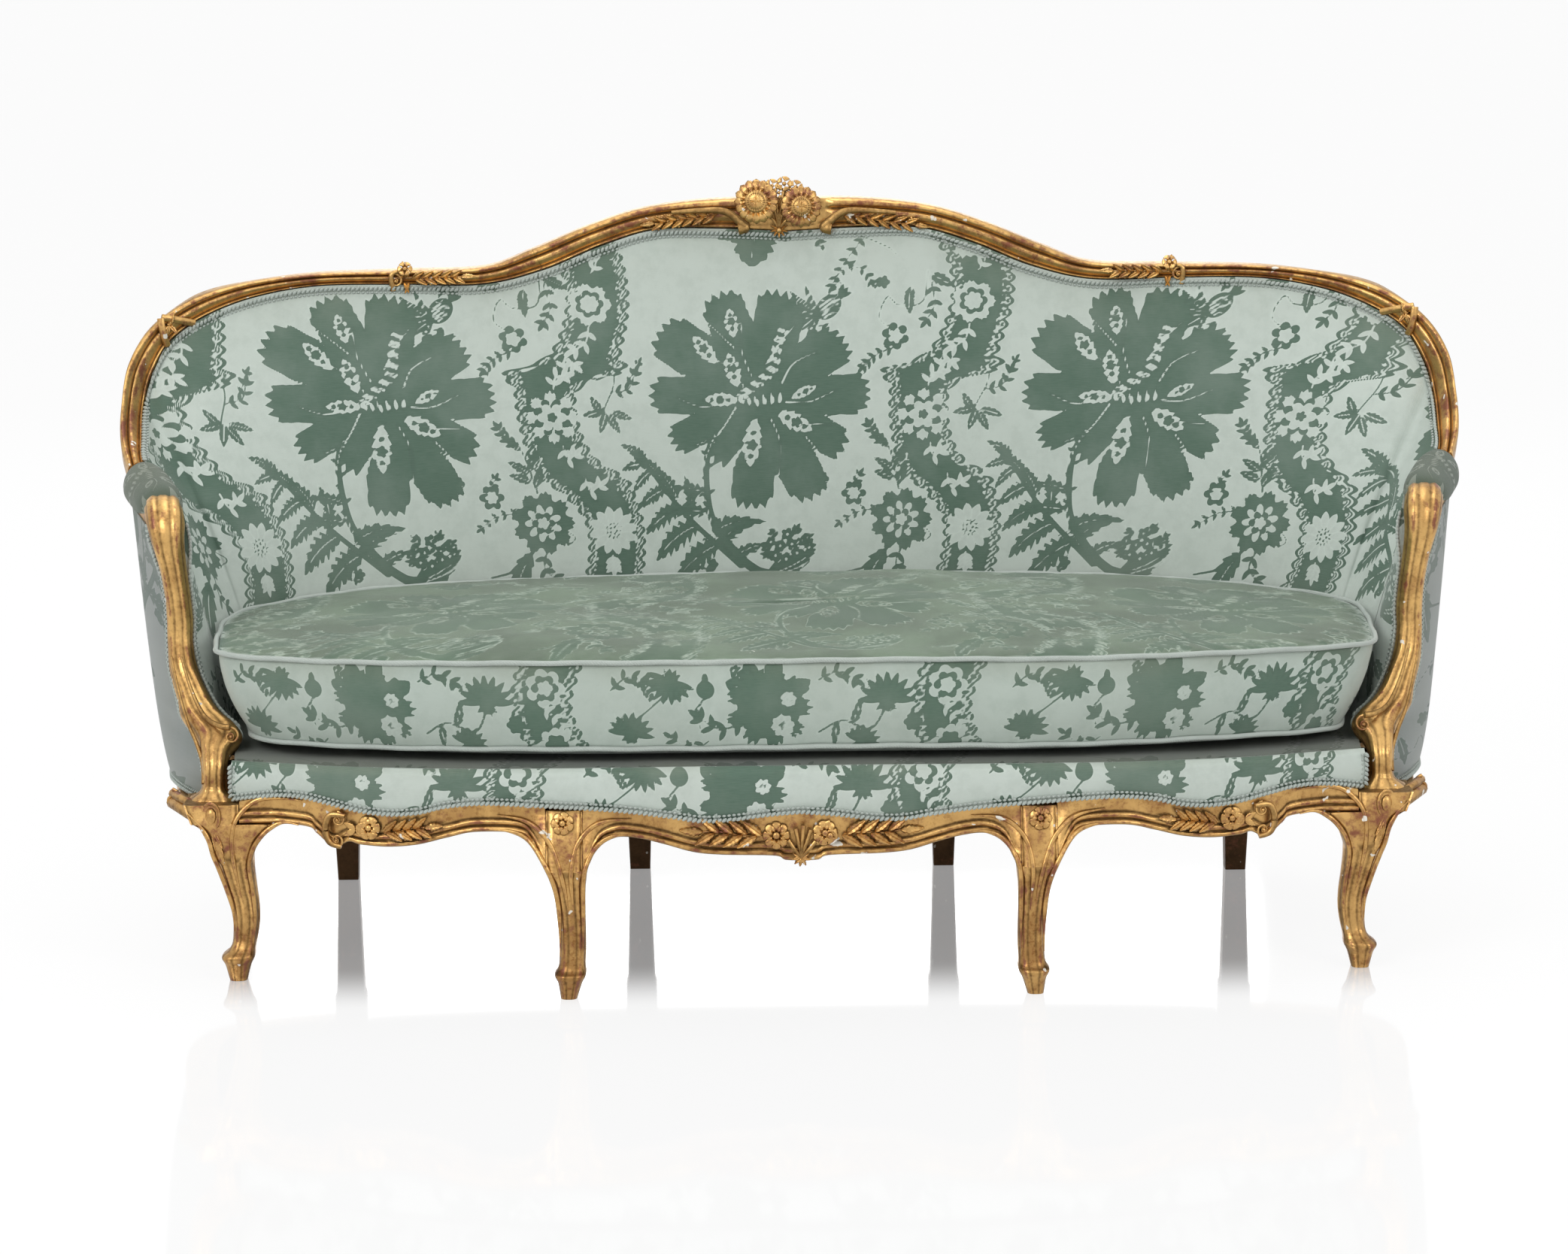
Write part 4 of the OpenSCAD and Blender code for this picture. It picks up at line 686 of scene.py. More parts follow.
        # Angle and length of each petal's tip
        tips = np.array([[4, 296], [31, 276], [80, 290], [108, 298], [146, 318], [178, 292], [206, 268], [234, 214],
                         [262, 296], [302, 306], [328, 268], [364, 296]], float)
        hit, dx, dy = self.near(0, 0, 340)
        a = np.degrees(np.arctan2(dy, dx)) % 360
        a = np.where(a < 4, a + 360, a)
        k = np.clip(np.searchsorted(tips[:, 0], a, side="right") - 1, 0, len(tips) - 2)
        t = (a - tips[k, 0]) / (tips[k + 1, 0] - tips[k, 0])
        near = np.where(t < .5, tips[k, 1], tips[k + 1, 1])
        wide = (tips[k + 1, 0] - tips[k, 0]) * near / 57.3 / 2
        t = np.minimum(t, 1 - t) * 2
        saw = np.abs((t * np.maximum(1, np.round(wide / 26)) + .5) % 1 - .5) * 2
        valley = near - np.minimum(105, 30 + wide)
        self.add(hit, (lerp(near, valley, t ** 4) - 22 * saw - np.hypot(dx, dy)) * .55)
        for line in ([[-20, 60], [-44, 130], [-40, 200]], [[20, 90], [60, 150], [96, 190]],
                     [[-30, 20], [-90, 90], [-150, 120]], [[-70, -5], [-150, -20], [-215, 5]],
                     [[-60, -20], [-110, -90], [-170, -120]], [[22, -40], [52, -110], [50, -200]],
                     [[0, -40], [-36, -110], [-90, -190]], [[50, -28], [110, -62], [190, -70]],
                     [[70, -10], [130, -10], [200, 20]], [[60, 40], [90, 90], [150, 120]],
                     [[-60, 130], [-110, 180], [-140, 210]], [[120, -100], [160, -150], [170, -200]]):
            self.stem(line, 5.5, 2.0, cut=True)
        for x, y, angle, length, width in (
                (-62, 158, 98, 78, 40), (-110, 92, 128, 92, 46), (-58, 30, 102, 92, 46), (-52, -4, 178, 92, 40),
                (-12, -52, 262, 128, 56), (46, -36, 332, 104, 52), (84, 0, 26, 72, 30)):
            self.leaf(x, y, angle, length, width, 5, full=1.0, cut=True)
            dx, _, dy = around(angle)
            for k, size in ((.30, .17), (.55, .30), (.78, .17)):
                self.petals(x + length * k * dx, y + length * k * dy, width * size, 5, .45)
        self.petals(4, -6, 62, 2, .62)
        self.leaves([(-44 + 19 * k, -22 + 3 * abs(k - 2), 96 - 6 * k, 30, 11) for k in range(6)], bend=.35, cut=True)
        for k, (x, y) in enumerate(through([[-44, 8], [0, 40], [38, 78], [48, 130], [66, 176]], 17)):
            for off in (-9, 0, 9):
                self.disc(x + off, y - off * .4 + 5 * (k % 2), 4.4, cut=True)

    def pineapple(self, x=180, y=236):
        self.leaves([(x - 26, y - 20, angle, length, 17, 0, -.12) for angle, length in (
            (196, 96), (170, 104), (146, 96), (120, 84), (222, 84), (248, 62))])
        hit, dx, dy = self.near(x, y, 60)
        a, b = (dx + dy) * .7071, (dy - dx) * .7071
        body = 1 - np.hypot(a / 38, b / 27)
        lattice = np.maximum(np.abs((a / 9) % 1 - .5), np.abs((b / 9) % 1 - .5)) * 9 - 3.0
        self.add(hit, np.minimum(body * 26, np.where(body < .18, 4, lattice)))
        self.leaves([(x + 26, y + 26, angle, 36, 12) for angle in (20, 45, 70)])
        self.sprigs((20, 3, [x - 30, y - 44], [x + 10, y - 66], [x + 24, y - 92]))

    def great_stem(self):
        self.stem([[-110, -70], [-142, -150], [-146, -250], [-128, -330], [-60, -420], [10, -470]], 14, 26)
        self.stem([[-118, -90], [-150, -170], [-153, -250], [-134, -330]], 3, 3, cut=True)
        self.leaves([(-140 - 3 * (k % 2), -110 - 34 * k, 150 if k % 2 else 30, 20, 9) for k in range(6)])
        self.stem([[-330, -130], [-270, -220], [-190, -320], [-60, -440]], 7, 16)
        for x, y, angle, length, width, bend in (
                (-262, -212, 122, 92, 34, .30), (-302, -158, 134, 70, 28, .25), (-226, -262, 108, 92, 34, .30),
                (-250, -232, 196, 84, 38, .30), (-214, -282, 196, 106, 48, .34), (-172, -330, 198, 128, 62, .36),
                (-122, -384, 200, 132, 66, .36), (-190, -300, 84, 88, 32, .25), (-300, -166, 178, 64, 26, .3)):
            self.leaf(x, y, angle, length * 1.12, width * 1.25, 7, bend, deep=.58)
        self.leaves(((-150, -300, 160, 110, 50, 6, .35), (-146, -250, 150, 90, 40, 6, .32),
                     (-120, -390, 60, 120, 54, 6, -.5), (-80, -425, 50, 96, 46, 6, -.5),
                     (-290, -185, 210, 74, 34, 6, .3)), deep=.58)
        self.leaf(-136, -356, 44, 130, 64, 6, -.62, deep=.55)
        self.stem([[-60, -432], [0, -455], [70, -470]], 12, 20)
        self.sprigs((18, 3, [-158, -392], [-176, -440], [-150, -452]))
        self.petals(-138, -436, 17, 5, .5)

    def basket(self, x=70, y=-420):
        self.leaf(x - 60, y - 46, 12, 150, 70, 4, .24)
        for k in range(4):
            self.stem([[x - 30, y - 46], [x + 10 + 14 * k, y - 34 + 6 * k], [x + 50 + 8 * k, y - 20 + 12 * k]],
                      3.2, 2, cut=True)
        for dx, dy, r in ((-34, 6, 19), (-4, -4, 19), (26, 12, 18), (-20, 32, 17), (12, 36, 17), (0, 62, 18),
                          (40, 44, 15), (-46, 42, 14)):
            self.petals(x + dx, y + dy, r, 5, .55, phase=dx)
            self.disc(x + dx, y + dy, r * .24, cut=True)
        self.sprigs(*((19, 2, [x + dx * .7, y + dy * .8], [x + dx, y + dy]) for dx, dy in (
            (-62, 30), (-40, 66), (26, 76), (58, 54), (64, 30), (-60, 10))))

    def ribbon(self, points, width):
        """The lace ribbon: a scalloped band with a light line inside its edge."""
        line = through(points, 60)
        order = np.argsort(line[:, 1])
        y = (self.y + 560) % self.tall - 560
        x0 = np.interp(y, line[order, 1], line[order, 0])
        slope = np.interp(y, line[order, 1], np.gradient(line[order, 0], line[order, 1]))
        dx = (self.x - x0 + self.width / 2) % self.width - self.width / 2
        across = dx / np.sqrt(1 + slope ** 2)
        scallop = np.abs(np.sin(np.pi * (y * 33 / self.tall + np.where(across > 0, .5, 0))))
        d = np.where(np.abs(dx) < 200, width + 14 * scallop - np.abs(across), -9)
        light = np.maximum(2.4 - np.abs(d - 11), 1.5 - np.abs(d - 19))
        fringe = np.minimum(3.2 - np.abs(d - 27), 5 * np.sin(2 * np.pi * y / 15))
        d = np.minimum(d, -np.maximum(light, np.where(scallop > .5, fringe, -9)))
        self.ink = np.maximum(self.ink, np.minimum(d, 9)).astype(np.float32)

    def back(self):
        self.great_flower()
        self.pineapple()
        self.great_stem()
        self.basket()
        self.ribbon([[500, 460], [556, 360], [566, 240], [520, 110], [428, 40], [420, -60], [452, -160],
                     [530, -240], [572, -330], [560, -460], [500, -560]], 66)
        self.rose(430, -44, (-66, 8, .62, 0, .06), (50, 8, .58, .4), (-38, 6, .55), (14, 5, .5))
        self.daisy(566, -342, 64)
        self.rose(546, 248, (-54, 7, .72, 0, .05))
        self.rose(546, 250, (36, 7, .7), (-24, 7, .7))
        self.sprigs((30, 3, [540, 190], [530, 150], [500, 130]), (28, 3, [470, 70], [476, 110], [500, 90]),
                    (30, 3, [440, 30], [448, 60], [470, 66]), (30, 3, [452, -118], [460, -150], [480, -140]),
                    (30, 3, [500, -200], [512, -236], [540, -222]), (28, 3, [560, -408], [560, -440]),
                    (26, 3, [556, 330], [570, 360], [550, 380]), (24, 3, [500, 400], [520, 380]), cut=True)
        # The dark rose beside the ribbon, with its leaves and sprigs
        self.rose(380, -320, (82, 9, .70, 0, .05), (-50, 9, .35, .35), (31, 6, .55), (-17, 5, .5))
        self.leaf(340, -400, 232, 150, 62, 5, .22)
        self.stem([[352, -385], [300, -440], [220, -462]], 9, 5)
        self.stem([[372, -240], [350, -150], [330, -110]], 6, 4)
        self.leaves([(x, y, angle, 62, 27, 4, .15) for x, y, angle in (
            (356, -190, 140), (352, -170, 40), (366, -226, 60), (360, -214, 150), (340, -130, 130))])
        self.sprigs((24, 4, [330, -118], [304, -96], [288, -70]), (20, 5, [318, -292], [260, -300], [212, -330]))
        self.rose(250, -250, (34, 6, .5), (-18, 6, .5))
        self.sprigs((20, 2, [250, -226], [266, -200]), (32, 3, [382, -396], [370, -440], [400, -470]))
        self.stem([[430, -330], [462, -360], [440, -380]], 3.5, 3)
        # Sprigs between ribbon and flower above, and the small plant on the ribbon's other side
        self.rose(352, 160, (36, 6, .55, .3), (-20, 5, .5))
        self.stem([[430, 330], [420, 250], [360, 240], [330, 262], [310, 210], [340, 180]], 4, 3.4)
        self.petals(318, 300, 18, 5, .5)
        self.stem([[550, -60], [566, -20], [590, 30], [596, 60]], 4, 3.4)
        self.leaves([(x, y, angle, 60, 25, 5) for x, y, angle in (
            (560, -40, 120), (566, -30, 190), (572, -36, 300), (580, -30, 340), (570, -30, 250))])
        # Twigs under the crest
        self.stem([[200, 440], [262, 420], [330, 390], [350, 372]], 4, 3)
        self.leaves(((392, 288, 250, 70, 32, 5, .3), (440, 320, 330, 62, 34, 4), (0, 452, 262, 112, 120, 5),
                     (-30, 440, 200, 70, 40, 4), (36, 440, 330, 60, 40, 4)))
        self.sprigs((22, 5, [348, 130], [300, 110], [270, 80]), (26, 4, [440, 300], [450, 240], [430, 200]),
                    (24, 4, [590, 20], [630, 30], [650, 70]), (18, 2, [640, 60], [660, 96]),
                    (22, 6, [270, 420], [220, 350], [190, 290]), (20, 4, [220, 350], [270, 330], [290, 300]),
                    (22, 3, [90, 420], [130, 440], [160, 400]))

    def border(self):
        """The part of the damask on the borders of seat and cushion: v runs from -110 to 110."""
        self.ribbon([[452, -420], [476, -200], [420, 0], [476, 200], [440, 420]], 62)
        self.rose(432, 46, (-48, 7, .70), (34, 6, .6), (-20, 5, .55))
        self.rose(446, -96, (-46, 8, .66), (30, 6, .6))
        self.sprigs((26, 3, [420, 0], [446, -20], [470, -50]), cut=True)
        self.petals(0, -6, 100, 9, .66, ragged=.09)
        self.leaves([(0, 0, angle, 118, 62, 5) for angle in (80, 118, 150, 30)], full=1.2)
        self.daisy(34, -52, 30, 8)
        self.daisy(48, 14, 20, 7)
        for x, y, turn, r in ((286, 10, 90, 72), (-236, 62, 250, 62), (226, -96, 60, 50), (-340, -70, 80, 60)):
            self.leaves([(x, y, turn - 88 + 22 * k, r, r * .24) for k in range(9)], full=1.1, vein=False)
            self.disc(x, y, r * .26)
            self.leaves([(x, y, turn + 135 + 30 * k, r * .5, r * .16) for k in range(4)])
        for points, start, end in (
                ([[-30, 30], [-60, 80], [-96, 106], [-150, 130]], 6, 4),
                ([[286, 0], [250, -60], [180, -40], [120, -70]], 6, 5),
                ([[-236, 40], [-280, 0], [-330, -40]], 5, 4), ([[-152, 20], [-180, -20], [-160, -70]], 5, 4)):
            self.stem(points, start, end)
        self.leaves(((-90, 96, 300, 96, 34, 5, .2), (200, -50, 60, 70, 26, 4, .2), (170, -44, 250, 62, 24, 4, .2),
                     (-280, 6, 110, 60, 24, 4, .2), (-152, 52, 90, 28, 16)))
        self.sprigs((34, 4, [-60, -40], [-120, -60], [-170, -30]), (28, 3, [-150, -90], [-190, -110], [-240, -80]),
                    (28, 4, [120, 60], [170, 80], [210, 60]), (28, 4, [-380, 40], [-340, 70], [-300, 60]))
        self.petals(352, -44, 24, 6, .6)
        self.disc(-152, 38, 22)


def damask_ink(along, up, part="back"):
    """Signed distance from the drawn figure, in millimetres, at cloth coordinates in metres."""
    s = settings()
    scale = s.pattern_pitch / Drawing.width
    along, up = np.broadcast_arrays(along - s.pattern_shift, up)
    drawing = Drawing(along.ravel() / scale, up.ravel() / scale)
    getattr(drawing, part)()
    return np.clip(drawing.ink.reshape(up.shape) * scale * 1000, -4, 4)


# Materials

class Nodes:
    """Adds nodes to a shader's tree and gives back their results."""

    def __init__(self, tree):
        self.tree = tree

    def feed(self, item, inputs):
        for key, value in inputs.items():
            if isinstance(value, bpy.types.NodeSocket):
                self.tree.links.new(value, item.inputs[key])
            else:
                item.inputs[key].default_value = value

    def node(self, kind, inputs=(), **values):
        item = self.tree.nodes.new("ShaderNode" + kind)
        for key, value in values.items():
            setattr(item, key, value)
        self.feed(item, dict(inputs))
        return item.outputs

    def calc(self, operation, *values, clamp=False):
        return self.node("Math", enumerate(values), operation=operation, use_clamp=clamp)[0]

    def times(self, a, b):
        return self.calc("MULTIPLY", a, b)

    def line(self, value, slope, start, clamp=False):
        """The value times its slope, plus the start."""
        return self.calc("MULTIPLY_ADD", value, slope, start, clamp=clamp)

    def mix(self, share, *colours):
        a, b = ((*c, 1) if not isinstance(c, bpy.types.NodeSocket) and len(c) == 3 else c for c in colours)
        return self.node("Mix", {0: share, 6: a, 7: b}, data_type="RGBA")[2]

    def tint(self, share, strength, colour, other):
        """Mixes in another colour by a share of a mask."""
        return self.mix(self.times(share, strength), colour, other)

    def band(self, value, low, high):
        return self.node("MapRange", {0: value, 1: low, 2: high}, interpolation_type="SMOOTHSTEP")[0]

    def noise(self, vector, scale, detail=4.0, rough=.55):
        return self.node("TexNoise", {"Vector": vector, "Scale": scale, "Detail": detail, "Roughness": rough})[0]

    def stretch(self, vector, *scale):
        return self.node("VectorMath", {0: vector, 1: scale}, operation="MULTIPLY")[0]

    def place(self, kind="Object"):
        return self.node("TexCoord")[kind]

    def axis(self, vector, k):
        return self.node("SeparateXYZ", {0: vector})[k]

    def layer(self, name, kind="Fac"):
        return self.node("Attribute", attribute_name=name)[kind]

    def bump(self, height, distance, strength):
        return self.node("Bump", {"Height": height, "Distance": distance, "Strength": strength})[0]

    def seen(self):
        """1 for the rays that show the white studio, and 0 for the light that falls on the sofa."""
        rays = self.node("LightPath")
        return self.calc("MAXIMUM", rays["Is Camera Ray"], self.calc(
            "MAXIMUM", rays["Is Glossy Ray"], rays["Is Transmission Ray"]))


def group(name, inputs, outputs, build):
    """A shader node group, built once."""
    if name in bpy.data.node_groups:
        return bpy.data.node_groups[name]
    tree = bpy.data.node_groups.new(name, "ShaderNodeTree")
    for way_in, items in (("INPUT", inputs), ("OUTPUT", [(key, "Float") for key in outputs])):
        for key, kind, *default in items:
            socket = tree.interface.new_socket(key, in_out=way_in, socket_type="NodeSocket" + kind)
            if default:
                socket.default_value = default[0]
    source, sink = tree.nodes.new("NodeGroupInput"), tree.nodes.new("NodeGroupOutput")
    m = Nodes(tree)
    m.feed(sink, build(m, source.outputs))
    return tree


def gilt_wear_and_shade():
    """Where gilding is rubbed to the bole, darkened with grime and painted shade in its hollows, or chipped to the
    gesso.
    """
    def build(m, i):
        fine = m.noise(i["Vector"], 160, 5)
        broad = m.noise(i["Vector"], 22, 4)
        streak = m.noise(i["Vector"], 70, 6, .7)
        rub = m.calc("ADD", m.times(i["Relief"], .5), m.times(streak, .9))
        rub = m.band(m.line(broad, .45, rub), 1.08, 1.30)
        # Grime and painted shade: darker where the relief is low, in the hollows and on the undersides of the carving.
        dirt_and_shade = m.band(m.calc("SUBTRACT", m.line(fine, .5, .62), i["Relief"]), .12, .80)
        chip = m.band(m.line(i["Relief"], .05, m.noise(i["Vector"], 48, 2)), .735, .755)
        return {"Rubbed": m.times(rub, i["Amount"]), "Dirt": dirt_and_shade, "Chipped": m.times(chip, i["Amount"]),
                "Height": m.line(streak, .5, fine), "Tone": broad}
    return group("Gilt wear and painted shade", [("Vector", "Vector"), ("Relief", "Float", .7), ("Amount", "Float", 1.0)],
                 ("Rubbed", "Dirt", "Chipped", "Height", "Tone"), build)


def weave():
    """Ribs of a weave across the cloth, broken by its slubs."""
    def build(m, i):
        turn = m.calc("DIVIDE", 6.2832, i["Pitch"])
        ribs = m.calc("SINE", m.times(m.axis(i["Cloth"], 1), turn))
        warp = m.calc("SINE", m.times(m.axis(i["Cloth"], 0), turn))
        slub = m.noise(m.stretch(i["Cloth"], 60, 900, 1), 1, 3)
        return {"Height": m.calc("ADD", m.calc("ADD", m.times(ribs, .5), m.times(warp, .3)), slub), "Slub": slub}
    return group("Weave", [("Cloth", "Vector"), ("Pitch", "Float", .0011)], ("Height", "Slub"), build)


def material(name, build):
    """A material, built once: build gives the inputs of its Principled shader."""
    made = bpy.data.materials.get(name)
    if made is None:
        made = bpy.data.materials.new(name)
        made.use_nodes = True
        m = Nodes(made.node_tree)
        m.feed(m.tree.nodes["Principled BSDF"], build(m))
    return made


def gilt_material(name, gold, worn_and_shaded, amount, rough):
    def build(m):
        s = settings()
        at = m.place()
        relief = m.layer("relief") if name == "Gilding" else .75
        rubbing_and_shade = m.node("Group", {"Vector": at, "Relief": relief, "Amount": amount}, node_tree=gilt_wear_and_shade())
        # The gilding is made darker towards the feet, from 0.42 m down.
        low = m.band(m.axis(at, 2), .42, .02)
        streak = m.band(m.noise(at, 120, 6, .75), .50, .62)
        tone = m.line(low, .34, m.times(m.band(rubbing_and_shade["Tone"], .38, .62), .42))
        colour = m.mix(m.line(streak, .30, tone, clamp=True), gold, worn_and_shaded)
        colour = m.mix(rubbing_and_shade["Rubbed"], colour, s.bole)
        # Grime and painted shade in the hollows, in a near-black brown.
        colour = m.tint(rubbing_and_shade["Dirt"], .88, colour, [c * .20 for c in worn_and_shaded])
        metal = m.calc("MAXIMUM", m.times(rubbing_and_shade["Rubbed"], .6), rubbing_and_shade["Chipped"])
        return {"Base Color": m.mix(rubbing_and_shade["Chipped"], colour, s.gesso),
                "Metallic": m.calc("SUBTRACT", .92, metal, clamp=True),
                "Roughness": m.line(rubbing_and_shade["Dirt"], .25, m.line(rubbing_and_shade["Height"], .22, rough - .12)),
                "Normal": m.bump(rubbing_and_shade["Height"], .0009, .55)}
    return material(name, build)


def gilding():
    return gilt_material("Gilding", settings().leaf_gold, settings().worn_gold, 1.0, .30)


def plain_gilding():
    return gilt_material("Plain gilding", settings().leaf_gold, settings().worn_gold, 1.0, .34)


def dark_gilding():
    return gilt_material("Darkened gilding", (.085, .045, .020), (.045, .024, .011), .5, .50)


def cloth_material(name, ground, figure, soil=.5, top=None):
    """Damask: a satin ground and a ribbed figure, drawn by the ink layer."""
    def between(share):
        return lerp(np.array(ground), np.array(figure), share).tolist()

    def build(m):
        cloth, at, ink_layer = m.layer("cloth", "Vector"), m.place(), m.layer("ink")
        threads = m.node("Group", {"Cloth": cloth, "Pitch": settings().weave_pitch}, node_tree=weave())
        ragged = m.line(m.noise(cloth, 900, 2), .5, -.25)
        ink = m.band(m.calc("ADD", ink_layer, ragged), -.35, .35)
        cloud = m.noise(at, 7, 5, .6)
        pale = m.tint(m.band(m.noise(at, 38, 6, .7), .42, .66), .30, ground, between(.30))
        pale = m.tint(m.band(ink_layer, -2.4, -.6), .30, pale, [min(1, c * 1.22) for c in ground])
        # Painted shade: the figure is darker within about 3 mm of its edges, as if each motif were raised.
        dark = m.tint(m.band(ink_layer, 3.4, .8), .35, figure, [c * .66 for c in figure])
        dark = m.tint(m.band(cloud, .40, .68), .50, dark, between(.72))
        dark = m.tint(threads["Slub"], .35, dark, between(.6))
        # Grime and painted shade: the per-point layer, broken by noise, darkens the cloth towards olive brown.
        worn_and_shaded = m.times(m.layer("soil"), m.band(cloud, .25, .70))
        colour = m.tint(worn_and_shaded, soil, m.mix(ink, pale, dark), (.19, .20, .135))
        if top:
            faded = m.layer("fade")
            patch = m.mix(m.band(cloud, .35, .65), [c * 1.12 for c in top], [c * .74 for c in top])
            patch = m.tint(m.band(m.noise(at, 90, 6, .8), .50, .70), .30, patch, [c * .55 for c in top])
            outline = m.band(m.calc("ABSOLUTE", ink_layer), 1.9, .5)
            outline = m.times(outline, m.band(m.noise(at, 40, 5, .7), .40, .58))
            patch = m.tint(outline, .8, patch, (.36, .43, .35))
            patch = m.tint(ink, .42, patch, figure)
            split = m.band(m.noise(m.stretch(at, 26, 26, 3), 1, 5, .7), .735, .75)
            colour = m.tint(split, faded, m.mix(faded, colour, patch), (.62, .64, .58))
        return {"Base Color": colour, "Roughness": m.line(ink, .22, .46),
                "Normal": m.bump(m.line(ink, -.8, threads["Height"]), .00035, .55),
                "Sheen Weight": .25, "Sheen Roughness": .4, "Specular IOR Level": .35}
    return material(name, build)


def damask():
    return cloth_material("Damask", settings().ground, settings().figure, .35)


def pad_damask():
    return cloth_material("Arm pad damask", (.185, .215, .175), (.060, .088, .062))


# Painted shade: the deck's damask is made very dark to stand for the shadow under the cushion.
def deck_damask_as_shade():
    return cloth_material("Deck damask painted as shade", (.105, .125, .105), (.030, .050, .036))


def outside_damask():
    return cloth_material("Outside damask", (.19, .215, .205), (.085, .125, .105))


def cushion_damask():
    return cloth_material("Cushion damask", (.41, .475, .425), settings().figure, top=settings().worn_silk)


def plain_cloth(name, colour, other, scale, rough, height=.0006):
    def build(m):
        at = m.place()
        threads = m.node("TexWave", {"Vector": at, "Scale": scale, "Distortion": 1.5, "Detail": 2.0},
                         wave_type="BANDS", bands_direction="DIAGONAL")["Fac"]
        grain = m.noise(at, 700, 3)
        share = m.line(grain, .5, m.times(m.noise(at, 30, 5), .6), clamp=True)
        return {"Base Color": m.mix(share, colour, other), "Roughness": m.line(grain, .15, rough - .07),
                "Normal": m.bump(m.calc("ADD", threads, grain), height, .6), "Sheen Weight": .2}
    return material(name, build)


def gimp_silk():
    b = settings().braid
    return plain_cloth("Gimp silk", [c * 1.12 for c in b], [c * .74 for c in b], 240, .62)


def welt_silk():
    b = settings().braid
    return plain_cloth("Welt silk", [c * 1.1 for c in b], [c * .7 for c in b], 160, .6)


def jute():
    return plain_cloth("Jute", (.34, .24, .13), (.20, .13, .07), 120, .85, .001)


def stuffing():
    return plain_cloth("Hair and hessian", (.36, .28, .17), (.16, .11, .06), 40, .9, .002)


def black_cotton():
    return plain_cloth("Black cotton", (.022, .022, .021), (.010, .010, .010), 260, .85)


def beech():
    def build(m):
        at = m.place()
        grain = m.node("TexWave", {"Vector": at, "Scale": 18.0, "Distortion": 6.0, "Detail": 3.0},
                       bands_direction="Y")["Fac"]
        fleck = m.noise(at, 260, 4)
        colour = m.tint(grain, .6, (.45, .30, .16), (.30, .18, .09))
        return {"Base Color": m.tint(fleck, .3, colour, (.20, .11, .05)), "Roughness": m.line(fleck, .2, .5),
                "Normal": m.bump(fleck, .0004, .4)}
    return material("Beech", build)


def blued_steel():
    def build(m):
        rust = m.band(m.noise(m.place(), 300, 4), .5, .7)
        return {"Base Color": m.mix(rust, (.05, .055, .065), (.12, .05, .02)), "Metallic": .9,
                "Roughness": m.line(rust, .4, .35), "Normal": m.bump(rust, .0002, .5)}
    return material("Blued steel", build)


# Pieces

# Across the moulding: share of its width, depth in millimetres, relief
MOULDING = np.array([
    [0, 6, .3], [.03, 2, .7], [.075, 0, 1], [.12, 1.5, .8], [.15, 4, .4], [.175, 4.8, .1], [.20, 4, .5], [.26, 2.2, .8],
    [.34, .6, .9], [.45, -1, 1], [.54, -.6, 1], [.60, 1.5, .7], [.63, 3.8, .3], [.655, 4.4, .1], [.68, 3.4, .5],
    [.74, .4, .9], [.83, -1, 1], [.90, 0, .95], [.95, 2.5, .7], [.99, 6, .5], [1, 11, .5]])
# Beading of the seat rails: height and depth in millimetres, relief
BEADING = ([0, 2, 4, 6, 8, 10, 12, 14, 16, 18, 22, 60], [4, 1, 0, 1, 4, 3.2, .6, .4, 1.5, 4.2, 3.4, 2.2],
           [.5, .9, 1, .8, 0, .3, 1, 1, .7, 0, .7, .9])
FACE_POINTS = 30
SIDE_PLAN = np.concatenate([OUTER_FOOT, np.array([[.868, -.53], [.845, -.66]]) * PLAN])


def moulded_rows(u):
    """Rings of the back frame's moulding: three ridges with hollows between them and a plain back."""
    across, depth, relief = through(MOULDING, 52).T
    flat = smooth((.066 - way(SIGHT, np.abs(u))[:, 0]) / .012)[:, None]
    depth = lerp(depth, np.where(across < .99, 4.0, depth), flat * .9) / 1000
    tail = np.array([[1, .5], [1, .9], [.95, 1], [.05, 1], [0, .9], [0, .5]])
    depth = join(depth, np.tile(tail[:, 1] * FRAME_T, (len(u), 1)))
    relief = join(lerp(relief, .6, flat * .8), np.full((len(u), len(tail)), .55))
    return frame_point(u[:, None], np.append(across, tail[:, 0]), depth), relief


def beads_across(x, count):
    """Ridges across a bar: 1 on a ridge and 0 in a hollow, for x from -1 to 1."""
    return .5 + .5 * np.cos(count * np.pi * x)


def bar_rows(middle, step, a, b, raised, power=2.8):
    """Rings of a ridged bar: a is half its width in X, b half its depth, across its direction."""
    turn = (np.arange(48) + .5) / 24 * np.pi
    x, y = (np.sign(k) * np.abs(k) ** (2 / power) for k in (np.cos(turn), np.sin(turn)))
    ridge = np.where(np.abs(y) > np.abs(x), beads_across(x / .93, 3), beads_across(y / .93, 2))
    grow = np.broadcast_to(raised, a.shape)[:, None] * (ridge - .6)
    qx = x * (a[:, None] + grow * (np.abs(x) > .9))
    qy = y * (b[:, None] + grow * (np.abs(y) > .8))
    side = xyz(0, step[:, 2], -step[:, 1])
    rows = middle[:, None] + xyz(qx, 0, 0) + side[:, None] * qy[..., None]
    return rows, np.broadcast_to(.32 + .68 * ridge, qx.shape)


def support_curve(u):
    """Middle of the arm support, with half its width and half its depth."""
    line = ARM_SUPPORT[:, [1, 2, 0, 3, 4]] * [*PLAN, 1, FRAME_T, FRAME_T]
    line[:, 2] = lerp(SUPPORT_FOOT, SUPPORT_TOP, line[:, 2])
    return way(line, u)


